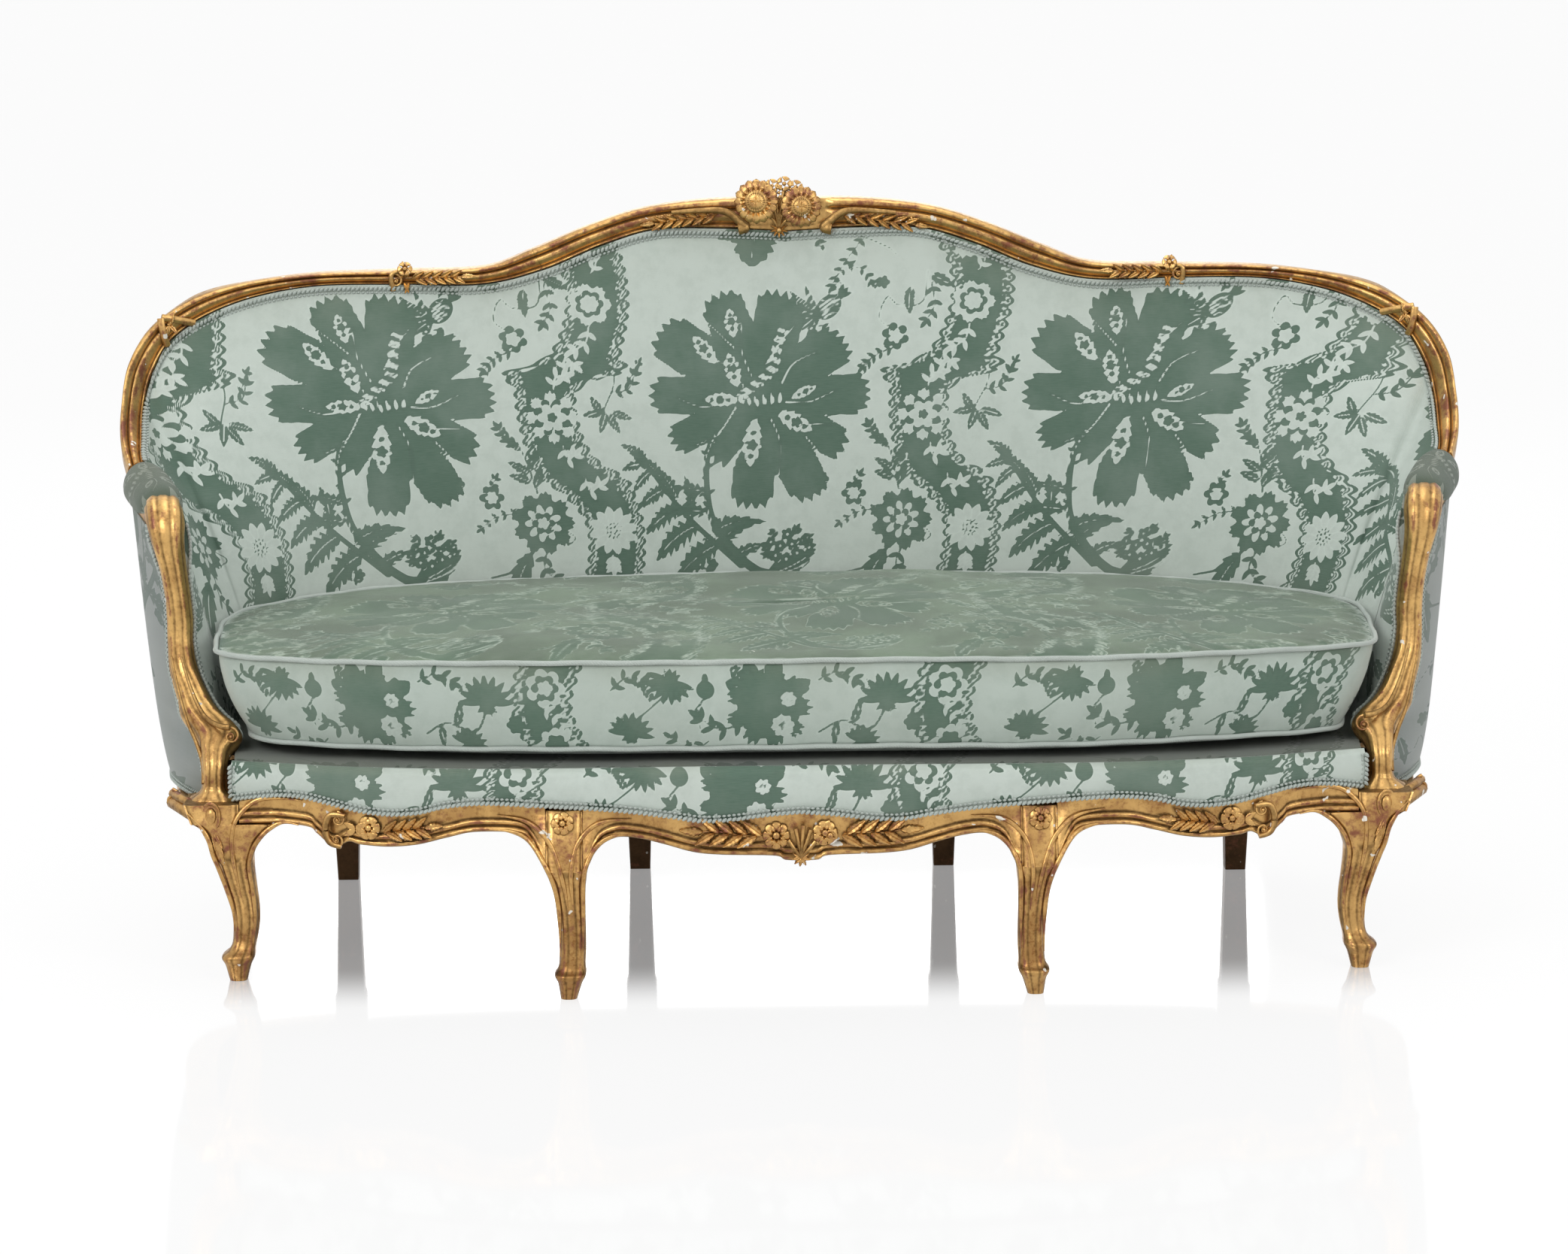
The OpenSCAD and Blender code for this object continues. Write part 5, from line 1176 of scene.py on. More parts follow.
def support_step(u):
    step = support_curve(u + .15)[:, :3] - support_curve(np.maximum(u - .15, 0))[:, :3]
    step = unit(step * [0, 1, 1])
    last = smooth((u - 15.2) / .8)[:, None]
    first = smooth((.6 - u) / .6)[:, None]
    return unit(step * (1 - last) * (1 - first) + last * [0, 1, 0] + first * [0, 0, 1])


def leg_rows(table):
    z, left, right, front, rear = (through(table, 6 * len(table)) * [RAIL_TOP, *HALF[[0, 0, 1, 1]]]).T
    knob = .0028 * np.exp(-((z - .0335) / .0075) ** 2)
    raised = .0026 * smooth((z - .046) / .02) * smooth((.262 - z) / .01)
    middle = xyz((left + right) / 2, (front + rear) / 2, z)
    return bar_rows(middle, np.tile([0, 0, 1.0], (len(z), 1)), (right - left) / 2 + knob, (rear - front) / 2 + knob,
                    raised, lerp(2.8, 9, smooth((z - .165) / .03))[:, None])


def rail_ring(outer, inner, lower, line, top, step):
    """Rings of a seat rail: beads along its lower edge, a field, and a step back above the line."""
    full = np.full_like(line, top)
    back = np.stack([line, full, full, lower, lower - .0005, lower], 1)
    z = lerp(lower[:, None], line[:, None], np.linspace(0, 1, FACE_POINTS))
    depth, relief = (np.interp((z - lower[:, None]) * 1000, BEADING[0], row) for row in BEADING[1:])
    share = np.broadcast_to([step / RAIL_T, step / RAIL_T, 1, 1, .5, .15], back.shape)
    flat = lerp(outer[:, None], inner[:, None], join(depth / 1000 / RAIL_T, share)[..., None])
    return xyz(flat[..., 0], flat[..., 1], join(z, back)), join(relief, np.full(back.shape, .45))


def front_face(x, z):
    """Y of the front rail's face, which swells forward into the heads of the legs."""
    x = np.abs(x)
    y = front_y(x)
    for table, low, high in ((INNER_LEG, *INNER_HEAD), (OUTER_LEG, .745, .90)):
        line = through(table, 200)[::-1]
        leg = np.interp(z, line[:, 0] * RAIL_TOP, line[:, 3] * HALF[1])
        away = np.maximum(0, np.maximum(low * HALF[0] - x, x - high * HALF[0]))
        y = y + np.minimum(0, leg - y) * np.exp(-(away / .020) ** 2)
    return y


def face_y(x, z):
    """Y of the back frame's face at a place seen from the front."""
    u = np.linspace(0, STILE_END, 400)
    middle = lerp(way(SIGHT, u), way(RIM, u), .5)
    return middle[np.argmin((middle[:, 0] - abs(x)) ** 2 + (middle[:, 2] - z) ** 2), 1]


class SofaOperator(bpy.types.Operator):
    bl_options = {"REGISTER", "UNDO"}


class SOFA_OT_stage(SofaOperator):
    """Set the camera, the pale floor, the white background and the studio lamps"""
    bl_idname = "sofa.stage"
    bl_label = "Stage"

    def execute(self, context):
        scene = context.scene
        yaw, pitch, roll = (math.radians(a) for a in (.992, 11.274, -.412))
        ahead = Vector((math.sin(yaw) * math.cos(pitch), math.cos(yaw) * math.cos(pitch), -math.sin(pitch)))
        right = Vector((math.cos(yaw), -math.sin(yaw), 0))
        up = right.cross(ahead)
        side = right * math.cos(roll) + up * math.sin(roll)
        top = up * math.cos(roll) - right * math.sin(roll)
        at = (-.1155, -5.7997, 1.5887)
        bpy.ops.object.camera_add(location=at)
        camera = scene.camera = context.object
        camera.matrix_world = Matrix.Translation(at) @ Matrix((side, top, -ahead)).transposed().to_4x4()
        camera.data.sensor_width = 36
        camera.data.lens = 5566.8 / 2085 * 36
        camera.data.clip_end = 60
        clear_selection()
        bpy.ops.mesh.primitive_plane_add(size=60, location=(0, 0, -.0005))
        floor = context.object
        floor.name = "floor"
        bpy.ops.object.transform_apply(location=True)

        def build(m):
            at = m.place()
            dust = m.noise(at, 3)
            share = m.line(m.band(m.axis(at, 1), -.42, -.20), .63, .07)
            glow = m.node("Emission", {"Color": (1, 1, 1, 1), "Strength": 1.0})[0]
            gloss = m.node("BsdfGlossy", {"Color": (1, 1, 1, 1), "Roughness": .05})[0]
            pale = m.node("BsdfDiffuse", {"Color": (.86, .86, .86, 1)})[0]
            shown = m.node("MixShader", {0: share, 1: glow, 2: gloss})[0]
            shown = m.node("MixShader", {0: .09, 1: shown, 2: pale})[0]
            lit = m.tree.nodes["Principled BSDF"].outputs[0]
            shown = m.node("MixShader", {0: m.seen(), 1: lit, 2: shown})[0]
            m.feed(m.tree.nodes["Material Output"], {"Surface": shown})
            return {"Base Color": m.tint(dust, .1, (.80, .80, .80), (.74, .74, .74)), "Roughness": m.line(dust, .2, .4)}
        floor.data.materials.append(material("Studio floor", build))
        floor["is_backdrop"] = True
        world = scene.world = bpy.data.worlds.new("Studio")
        world.use_nodes = True
        m = Nodes(world.node_tree)
        tall = m.band(m.axis(m.place("Generated"), 2), -.2, .9)
        colour = m.mix(m.seen(), m.mix(tall, (.30, .30, .30), (.80, .80, .80)), (1, 1, 1))
        m.feed(m.tree.nodes["Background"], {"Color": colour})
        for at, size, power in (((-3.2, -4.2, 4.2), 2.6, 150), ((3.4, -3.6, 3.2), 2.2, 60), ((0, .6, 4.6), 3.0, 60),
                                ((0, 4.2, 2.4), 2.6, 40)):
            bpy.ops.object.light_add(type="AREA", location=at)
            lamp = context.object
            lamp.data.energy, lamp.data.size = power, size
            lamp.rotation_euler = (Vector((0, 0, .5)) - Vector(at)).to_track_quat("-Z", "Y").to_euler()
        scene.view_settings.view_transform = "Standard"
        return {"FINISHED"}


class SOFA_OT_back_frame(SofaOperator):
    """Model the moulded crest rail, shoulder rails and stiles"""
    bl_idname = "sofa.back_frame"
    bl_label = "Back frame"

    def execute(self, context):
        rows, relief = moulded_rows(np.linspace(-CREST_END, CREST_END, 240))
        gilt(shell("gilt_crest_rail", rows, relief=relief), "crest_rail")
        for cad, first, last, name in (("shoulder_rail", CREST_END, SHOULDER_END, None),
                                       ("back_stile", SHOULDER_END, STILE_END, "stile")):
            gilt_pair(cad, *moulded_rows(np.linspace(first + .004, last, 150)), name)
        return {"FINISHED"}


class SOFA_OT_arm_supports(SofaOperator):
    """Model the ridged, scrolled arm supports with a volute near their feet"""
    bl_idname = "sofa.arm_supports"
    bl_label = "Arm supports"

    def execute(self, context):
        u = np.linspace(0, 16, 150)
        line = support_curve(u)
        flare = np.exp(-(u / .42) ** 2)
        rows, relief = bar_rows(line[:, :3], support_step(u), line[:, 3] + .015 * flare, line[:, 4] + .012 * flare,
                                .0028)
        scrolls = [ornament("volute", (.7745, -.217, .3315), (0, 0, 1), (-.25, -1, .1), (.0125, .0125, .014))]
        for count, thick, curl in (
                (40, (.0016, .0048), ((.8475, -.142, .428), (.832, -.170, .388), (.812, -.196, .356),
                                      (.790, -.216, .3465), (.7745, -.222, .3455))),
                (50, (.0016, .0036), ((.862, -.137, .428), (.850, -.168, .388), (.836, -.196, .350),
                                      (.822, -.213, .322), (.8125, -.226, .296), (.8100, -.243, .272)))):
            scrolls.append(stroke(curl, count, thick, 8, .8, (0, 1, 0)))
        for side, turn in SIDES:
            shaft = shell(f"gilt_arm_support_{side}", rows * [turn, 1, 1], relief=relief)
            scroll = assemble("scroll", [(made, np.diag([turn, 1, 1, 1]) @ at) for made, at in scrolls])
            clear_selection()
            scroll.select_set(True)
            shaft.select_set(True)
            context.view_layer.objects.active = shaft
            bpy.ops.object.join()
            gilt(shaft, f"arm_support_{side}")
        return {"FINISHED"}


class SOFA_OT_front_legs(SofaOperator):
    """Model the four cabriole front legs"""
    bl_idname = "sofa.front_legs"
    bl_label = "Front legs"

    def execute(self, context):
        for name, table in (("outer", OUTER_LEG), ("inner", INNER_LEG)):
            gilt_pair(f"front_leg_{name}", *leg_rows(table))
        return {"FINISHED"}

class SOFA_OT_hidden_frame(SofaOperator):
    """Finish the rear legs, the rear rails and the frame inside the upholstery"""
    bl_idname = "sofa.hidden_frame"
    bl_label = "Rear legs and inner frame"

    def execute(self, context):
        for finishes, words in ((dark_gilding, ("rear_leg", "rear_rail")),
                                (plain_gilding, ("arm_rail",)),
                                (beech, ("cross_rail", "corner_blocks", "back_post", "lower_back")),
                                (jute, ("webbing",)), (stuffing, ("stuffing",)), (blued_steel, ("tacks",))):
            for name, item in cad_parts.items():
                if any(word in name for word in words):
                    item.data.materials.clear()
                    item.data.materials.append(finishes())
        return {"FINISHED"}


class SOFA_OT_seat_rails(SofaOperator):
    """Model the moulded front and side seat rails"""
    bl_idname = "sofa.seat_rails"
    bl_label = "Seat rails"

    def execute(self, context):
        def front_rail(x, edge):
            outer = np.stack([x, front_y(x)], 1)
            x = np.abs(x)
            rows, relief = rail_ring(outer, outer + [0, RAIL_T], height(edge, x), rail_z(x), RAIL_TOP, .013)
            face = rows[:, :FACE_POINTS]
            head = front_face(face[..., 0], face[..., 2])
            flush = np.exp(-np.minimum(np.abs(x - .3165), np.abs(x - .797)) ** 4 / .033 ** 4)[:, None]
            face[..., 1] = lerp(face[..., 1] + head - outer[:, 1:], head, flush)
            relief[:, :FACE_POINTS] = lerp(relief[:, :FACE_POINTS], .8, flush)
            return rows, relief
        end = INNER_HEAD[0] * HALF[0]
        rows, relief = front_rail(np.linspace(-end, end, 220), CENTER_EDGE)
        gilt(shell("gilt_front_rail_center", rows, relief=relief), "front_rail_center")
        gilt_pair("front_rail", *front_rail(np.linspace(INNER_HEAD[1], CORNER_HEAD, 190) * HALF[0], BAY_EDGE))
        u = np.linspace(7.99, 17.9, 190)
        outer = way(SIDE_PLAN, u)
        step = unit(way(SIDE_PLAN, u + .1) - way(SIDE_PLAN, u - .1))
        inner = outer + step[:, ::-1] * [RAIL_T, -RAIL_T]
        top = lerp(RAIL_TOP, COVER_FOOT + .0006, smooth((u - 16.2) / .4))
        gilt_pair("side_rail", *rail_ring(outer, inner, height(SIDE_EDGE, outer[:, 1]),
                                          np.full(len(u), COVER_FOOT - GAP), top, .0036))
        return {"FINISHED"}


class SOFA_OT_crest_carving(SofaOperator):
    """Model the sunflowers, stems, scrolls and leaf sprays of the crest, and the clasps"""
    bl_idname = "sofa.crest_carving"
    bl_label = "Crest carving and clasps"

    def execute(self, context):
        y = .365
        parts = flower((-.045, y - .012, 1.000), .032, 16, (-.12, -1, .1), 2, True)
        parts += flower((.020, y - .012, .992), .030, 16, (.12, -1, .08), 2, True)
        for x, z, r in ((-.022, 1.022, .0105), (-.004, 1.025, .011), (.013, 1.020, .0105), (-.012, 1.012, .009),
                        (.002, 1.013, .008)):
            parts += flower((x, y - .007, z), r, 5, (.1 * x, -1, .25))
        foot = np.array([-.012, y - .004, .955])
        for x, z in ((-.045, .992), (.020, .985), (-.004, 1.016), (-.030, 1.010), (.006, 1.008), (-.018, 1.012)):
            top = np.array([x, y - .007, z])
            bend = lerp(foot, top, .5) + [(x - foot[0]) * -.22, -.004, 0]
            parts.append(stroke([foot, bend, top], 12, (.0022, .0030), 6))
        parts += fan(foot + [0, -.003, .004], (0, -1, .2), (200, 235, 270, 305, 340, 160, 20), (.014, .010, .016))
        parts.append(ornament("bead", foot + [0, -.006, .002], (1, 0, 0), (0, -1, 0), .0045))
        for turn, ends in ((-1, ((-.066, .967), (-.092, .985), (-.128, .9865), (-.170, .984))),
                           (1, ((.059, .966), (.083, .983), (.118, .9845), (.160, .981)))):
            x, z = ends[0]
            curl = [[x + turn * .006, y - .006, z - .008], [x - turn * .004, y - .005, z - .006]]
            bow = [[x, face_y(x, z) - .005, z] for x, z in ends]
            parts.append(stroke(curl + bow, 50, (.0088, .0030), 12, .85, (0, 1, 0)))
            parts.append(ornament("volute", np.add(bow[0], [turn * .002, -.003, -.005]), (0, 0, 1), (0, -1, 0),
                                  (.0078, .0078 * turn, .008)))
        for at, to in (((-.104, .9795), (-.217, .9655)), ((.086, .9775), (.210, .9590))):
            start, end = (np.array([x, face_y(x, z) - .0005, z]) for x, z in (at, to))
            parts += spray(start, end - start, np.linalg.norm(end - start), .023, 6, (0, -1, .1), 28)
        gilt(assemble("crest_flowers", parts), "crest_carving")

        x, z = .560, .893
        y = face_y(x, z)
        parts = spray((x - .010, y - .001, z - .001), (-1, 0, .03), .092, .022, 5, (.05, -1, .1), 28)
        for dx, dz, r, angle in ((0, .004, .022, 75), (.004, .002, .020, 105), (-.004, .002, .020, 45),
                                 (.010, .000, .018, 150), (.004, -.006, .018, 245), (-.004, -.006, .018, 290)):
            parts += fan((x + dx, y - .004, z + dz), (0, -1, .25), [angle], (r, r * .8, r * 1.4))
        parts += flower((x + .002, y - .006, z + .014), .0110, 6, (0, -1, .5))
        parts.append(ornament("volute", (x + .016, y - .004, z - .004), (0, 0, 1), (0, -1, 0), (.0105, .0105, .010)))
        parts.append(stroke([[x + .012, y - .003, z + .010], [x + .022, y - .005, z + .004],
                             [x + .020, y - .003, z - .018]], 20, (.003, .005)))
        clasps = with_twins(parts)
        # Ribbons that cross the stiles
        for u, ends in ((9.3, (-.02, 1.02)), (9.75, (1.02, -.02))):
            line = frame_point(np.linspace(u, u + .42, 16), np.linspace(*ends, 16),
                               -.0022 - .003 * np.sin(np.linspace(0, math.pi, 16)))
            clasps += with_twins([(tube(line, np.full(16, .0052), 8, .55, (0, -1, 0)), IN_PLACE)])
        knot = frame_point([9.72], .5, -.004)[0]
        for angle in (40, 110, 220, 290):
            clasps += with_twins(fan(knot, (.5, -1, .2), [angle], (.018, .016, .022)))
        gilt(assemble("rail_clasps", clasps), "shoulder_clasps")
        return {"FINISHED"}


class SOFA_OT_rail_carving(SofaOperator):
    """Model the flowers, leaf sprays and scrolls on the front rail and the knees"""
    bl_idname = "sofa.rail_carving"
    bl_label = "Rail and knee carving"

    def execute(self, context):
        def on(x, z, lift=.0):
            return np.array([x, front_y(x) - lift, z])
        parts = flower(on(-.034, .226, .001), .0185, 8, (0, -1, .1), 2)
        parts += flower(on(.031, .229, .002), .0170, 7, (.1, -1, .1), 2)
        parts.append(ornament("volute", on(.038, .226, .002), (0, 0, 1), (0, -1, 0), (.0175, .0175, .012)))
        foot = on(-.001, .196, .003)
        for x, z in ((-.018, .220), (-.008, .236), (.002, .240), (.012, .234), (.018, .218)):
            bend = lerp(foot, on(x, z, .007), .5) + [0, -.002, 0]
            parts.append(stroke([foot, bend, on(x, z, .005)], 10, (.0018, .0034), 6))
        parts += fan(foot, (0, -1, -.1), (190, 225, 262, 300, 345, 150, 30), (.0130, .0135, .0170))
        for turn in (-1, 1):
            start = on(turn * .056, .226)
            parts += spray(start, on(turn * .160, .233) - start, .108, .033, 4, (turn * .05, -1, .1), 34)
        start = on(.558, .226)
        bay = flower(on(.580, .231, .001), .0165, 6, (.25, -1, .1), 2)
        bay += spray(start, on(.48, .238) - start, .084, .028, 4, (.25, -1, .1))
        bay.append(ornament("volute", on(.622, .240, .003), (0, 0, 1), (.3, -1, 0), (.011, .011, .011)))
        bay.append(ornament("volute", on(.624, .212, .003), (0, 0, -1), (.3, -1, 0), (.010, -.010, .011)))
        bow = [on(.612, .246, .004), on(.632, .246, .006), on(.639, .228, .007), on(.634, .209, .006),
               on(.618, .203, .004)]
        bay.append((tube(through(bow, 30), lerp(.0032, .0050, np.sin(np.linspace(0, math.pi, 30)))), IN_PLACE))
        for angle, length in ((150, .022), (205, .024), (30, .018), (330, .018)):
            bay += fan(on(.598, .228, .002), (.25, -1, 0), [angle], (length, length * 1.2, length))
        gilt(assemble("front_rail_flowers", parts + with_twins(bay)), "front_rail_carving")

        knees = flower((.3185, -.3845, .2455), .0155, 7, (0, -1, .30), 2)
        for angle, length in ((269, .050), (262, .026), (276, .026), (215, .018), (325, .018), (60, .015), (120, .015)):
            knees += fan((.3170, -.3835, .2330), (0, -1, .12), [angle], (length, length * .55, .022))
        corner, heart = (.30, -1, .12), (.797, -.2865, .2360)
        knees.append(ornament("bead", heart, (0, 0, 1), corner, (.0125, .0085, .0050)))
        turn = np.linspace(0, 2 * math.pi, 40)
        ring = xyz(.0180 * np.cos(turn), .0125 * np.sin(turn), 0) @ place(heart, (0, 0, 1), corner)[:3, :3].T + heart
        knees.append((tube(ring, np.full(40, .0024), 8, 1, corner), IN_PLACE))
        for angle, length in ((247, .050), (236, .030), (258, .030)):
            knees += fan((.795, -.2895, .2190), corner, [angle], (length, length * .5, .022))
        # Ends of the side rails, which turn outwards beside the legs
        for rise, wide in ((0, .0105), (.0165, .0070)):
            bow = [(.806, -.268, .222 + rise), (.824, -.250, .228 + rise), (.843, -.226, .2345 + rise * .8),
                   (.858, -.196, .2360 + rise * .7)]
            knees.append(stroke(bow, 24, (wide * .7, wide), 10, 1, (0, 0, 1)))
        knees.append(ornament("volute", (.8580, -.2035, .2400), (0, 0, 1), (.35, -1, 0), (.0150, .0150, .0120)))
        # Mouldings that run from the rails down the legs
        taper = .25 + .75 * smooth(np.arange(60) / 14)
        for x0, lines in (
                (.3165, (
                    ((-.0115, .120), (-.0095, .150), (-.0085, .172), (-.0105, .195), (-.018, .219), (-.035, .238),
                     (-.058, .247), (-.090, .249)),
                    ((-.0045, .120), (-.001, .150), (.003, .172), (.009, .195), (.019, .219), (.036, .238),
                     (.058, .249), (.090, .254)),
                    ((-.0225, .060), (-.0235, .100), (-.0240, .135), (-.0245, .160), (-.027, .184), (-.036, .205),
                     (-.052, .2205), (-.072, .2275), (-.095, .2275)),
                    ((.0080, .060), (.0078, .100), (.0088, .130), (.0130, .159), (.0225, .186), (.038, .211),
                     (.054, .226), (.075, .233), (.100, .234)))),
                (.797, (
                    ((-.038, .110), (-.032, .150), (-.029, .178), (-.028, .205), (-.033, .229), (-.047, .247),
                     (-.066, .2585), (-.095, .2620), (-.125, .2610)),
                    ((-.0505, .055), (-.0545, .090), (-.0525, .130), (-.0500, .165), (-.0545, .188), (-.064, .205),
                     (-.078, .219), (-.098, .2285), (-.120, .2270)),
                    ((-.0245, .070), (-.0240, .100), (-.0180, .130), (-.0090, .163), (-.0025, .184), (.003, .205),
                     (.013, .222), (.030, .240))))):
            for line in lines:
                x, z = (through(line, 60) + [x0, 0]).T
                path = xyz(x, front_face(x, z) + .0004, z)
                knees.append((tube(path, .0034 * taper * taper[::-1], 8, .85, (0, -1, 0)), IN_PLACE))
        gilt(assemble("knee_flowers", with_twins(knees)), "knee_carvings")
        return {"FINISHED"}


def along_of(u, point):
    """Length along a wall from its middle to stations u."""
    fine = np.linspace(0, ARM_END + .4, 900)
    return np.interp(np.abs(u), fine, length_so_far(point(fine, .55)[:, :2])) * np.sign(u)


def pattern_layers(along, up, soil, hidden=0):
    """The layers of a patterned cloth, with a number of plain columns for its hidden side."""
    ink = damask_ink(along, up - settings().pattern_height)
    plain = (len(ink), hidden)
    return {"ink": join(ink, np.full(plain, -4.0)), "soil": join(np.broadcast_to(soil, ink.shape), np.ones(plain)),
            "cloth": join(xyz(along, up, 0), np.zeros((*plain, 3)))}


def meet_support(rows, side, t):
    """Draws the front end of an arm's cloth on to the arm support; side is 1 outside and -1 inside."""
    fine = support_curve(np.linspace(0, 12.6, 220))
    z = rows[..., 2]
    x, y, _, wide, deep = (np.interp(z, fine[:, 2], column) for column in fine.T)
    goal = xyz(np.sign(rows[..., 0]) * (x + side * (wide + .0005)), y + deep * .55, z)
    k = smooth((t - .62) / .38) * (1 - smooth((z - .53) / .06))
    return lerp(rows, goal, k[..., None])


def steps(length):
    return max(6, int(round(length / settings().cloth_mesh)))


def stations(first, last, long, tall):
    """Stations along a wall and shares of its height, for a cloth of a length and a height."""
    return np.meshgrid(np.linspace(first, last, steps(long)), np.linspace(0, 1, steps(tall)), indexing="ij")


def front_edge(table, v):
    """Stations of the arm's front edge at shares v of its height."""
    return way(np.array(table)[:, None], v * 5)[..., 0]


class SOFA_OT_inside(SofaOperator):
    """Model the stuffed inside of the back and of the arms, and the arm pads"""
    bl_idname = "sofa.inside"
    bl_label = "Inside upholstery and arm pads"

    def execute(self, context):
        def cover(name, cad, u, v, t=0.0):
            front = meet_support(pad_front(u, v), -1, t)
            back = pad_back(u[:, [-1, 0]], [[1.0, 0.0]])
            # Grime along the frame's edge, and painted shade in the crease where the cushion's top meets the back, near
            # z 0.45.
            soil = np.exp((v - 1) / .07) + .5 * np.exp(-np.abs(front[..., 2] - .45) / .03)
            layers = pattern_layers(along_of(u, pad_front), front[..., 2], np.minimum(soil, 1), 2)
            finish(shell(name, join(front, back), **layers), damask, "silk_damask", cad, padded=.8)
        cover("damask_inside_back", "back_upholstery", *stations(-STILE_END, STILE_END, 2.30, .66))
        t, v = stations(0, 1, .36, .36)
        u = lerp(ARM_START, front_edge(INSIDE_FRONT, v), t)
        for side, turn in SIDES:
            cover(f"damask_inside_arm_{side}", f"arm_inside_{side}", u * turn, v, t)
        t = .5 - .5 * np.cos(np.linspace(.04, math.pi - .04, 110))[:, None]
        end = np.maximum(0, 1 - np.abs(2 * t - 1) ** 4.5) ** .5
        bow = np.linspace(math.pi * 1.06, -math.pi * .06, 60)
        s = .5 + .73 * np.cos(bow) * lerp(.55, 1, end)
        lift = np.maximum(np.sin(bow), -.1) * end
        top = FRAME_T * ARM_REBATE - .0012
        rows = frame_point(lerp(14.22, 16.9, t), s, top - np.sign(lift) * np.abs(lift) ** .85 * (top + .0205))
        layers = pattern_layers(t * .27 - .17, np.linspace(0, .16, 60) + .63, .45)
        for side, turn in SIDES:
            finish(shell(f"damask_arm_pad_{side}", rows * [turn, 1, 1], **layers), pad_damask, "arm_pad_damask",
                   f"arm_pad_{side}", padded=.9)
        return {"FINISHED"}


class SOFA_OT_outside(SofaOperator):
    """Model the cloth outside the back and outside the arms"""
    bl_idname = "sofa.outside"
    bl_label = "Outside covers"

    def execute(self, context):
        def cover(name, cad, u, v, w=1.0, fade=1.0, t=0.0):
            outer = meet_support(cover_point(u, v, w, fade), 1, t)
            back = np.unique(np.append(np.arange(0, u.shape[1], 6), u.shape[1] - 1))[::-1]
            inner = outer[:, back] + sides(u[:, back], into_wall(np.abs(u[:, back])))
            # Darker along the cover's lower and upper edges.
            soil = .35 + .5 * np.exp(-v / .05) + .4 * np.exp((v - 1) / .05)
            layers = pattern_layers(along_of(u, cover_point), outer[..., 2], soil, len(back))
            finish(shell(name, join(outer, inner), **layers), outside_damask, "silk_damask", cad, padded=.2)
        cover("damask_outside_back", "back_outside_cover", *stations(-STILE_END, STILE_END, 1.85, .50))
        t, v = stations(0, 1, .36, .36)
        u = lerp(ARM_START, front_edge(OUTSIDE_FRONT, v), t)
        # Eight more rings turn the cloth's front end in behind the arm support
        turned = np.linspace(0, 1, 9)[1:, None]
        w = np.concatenate([np.ones(v.shape), 1 - turned * lerp(.7, .4, np.minimum(1, v[0] * 2))])
        u = np.concatenate([u, np.repeat(u[-1:], 8, 0)])
        t = np.concatenate([t, np.ones((8, t.shape[1]))])
        v = np.concatenate([v, np.repeat(lerp(.14, 1, v[-1:]), 8, 0)])
        for side, turn in SIDES:
            cover(f"damask_outside_arm_{side}", f"arm_outside_{side}", u * turn, v, w, 1 - t ** 4, t)
        return {"FINISHED"}


def droop(x):
    return DROOP * (x / HALF[0]) ** 2


def front_run(x):
    """Length along the seat's front edge from its middle."""
    run = length_so_far(np.stack([x, front_y(x)], 1))
    return (run - run[-1] / 2)[:, None]


class SOFA_OT_seat(SofaOperator):
    """Model the stuffed border and deck of the seat"""
    bl_idname = "sofa.seat"
    bl_label = "Seat border and deck"

    def execute(self, context):
        x = np.linspace(-BORDER_END, BORDER_END, steps(1.54)) * HALF[0]
        along, x = front_run(x), x[:, None]
        y, foot, top = front_y(x), rail_z(x) + GAP, SEAT_Z - droop(x) - .0005
        v = np.linspace(0, 1, steps(.075))
        z = lerp(foot, top, 1 - (1 - v) ** 1.06)
        depth = .0012 - .0035 * np.sin(math.pi * np.minimum(1, v / .95)) + .0095 * smooth((v - .82) / .18) ** 2
        rows = join(xyz(x, y + depth, z), xyz(x, y + .0127, join(top, foot)))
        # Painted shade: the border darkens towards its top, under the cushion's edge.
        layers = {"ink": damask_ink(along + .035, z - .285, "border"), "cloth": xyz(along, z, 0),
                  "soil": np.broadcast_to(.25 + .6 * smooth((v - .7) / .3), z.shape)}
        layers = {key: join(a, np.full((len(x), 2) + a.shape[2:], -1.0)) for key, a in layers.items()}
        finish(shell("damask_seat_border", rows, **layers), damask, "silk_damask", "seat_border", padded=.7)
        x = np.linspace(-.826, .826, steps(1.59)) * HALF[0]
        along, x = front_run(x), x[:, None]
        v = np.linspace(0, 1, 150) ** 1.7
        front = lerp(front_y(x) + .0135, -.190, smooth((np.abs(x) - .766) / .008))
        rear = np.interp(np.abs(x), *way(INNER_FOOT, np.linspace(0, 15.5, 400)).T) - .0008
        y = lerp(front, rear, v)
        top = SEAT_Z - droop(x)
        z = top - .004 * np.exp(-v / .02) + .0012 * np.sin(x * 31) * np.sin(v * 9)
        rows = xyz(x, y, np.minimum(z, top))
        rows = join(rows, rows[:, [-1, 0]] - [0, 0, CLOTH_T])
        ink = join(damask_ink(along + .035, y - front + .036, "border"), np.full((len(x), 2), -4.0))
        finish(shell("damask_seat_deck", rows, ink=ink, soil=.5, cloth=rows * [1, 1, 0]), deck_damask_as_shade, "silk_damask",
               "seat_cover", padded=.7)
        return {"FINISHED"}


def seam_ring(table):
    """A seam all round the cushion, with its stations and its length so far."""
    whole = np.concatenate([table, (table * [-1, 1])[-2:0:-1], table[:1]])
    u = np.linspace(0, len(whole) - 1, 4000)
    line = way(np.concatenate([whole[-2:-1], whole, whole[1:2]]), u + 1)
    return line, u, length_so_far(line)


def seam_normals(line):
    return unit(np.roll(line, -1, 0) - np.roll(line, 1, 0))[:, ::-1] * [1, -1]


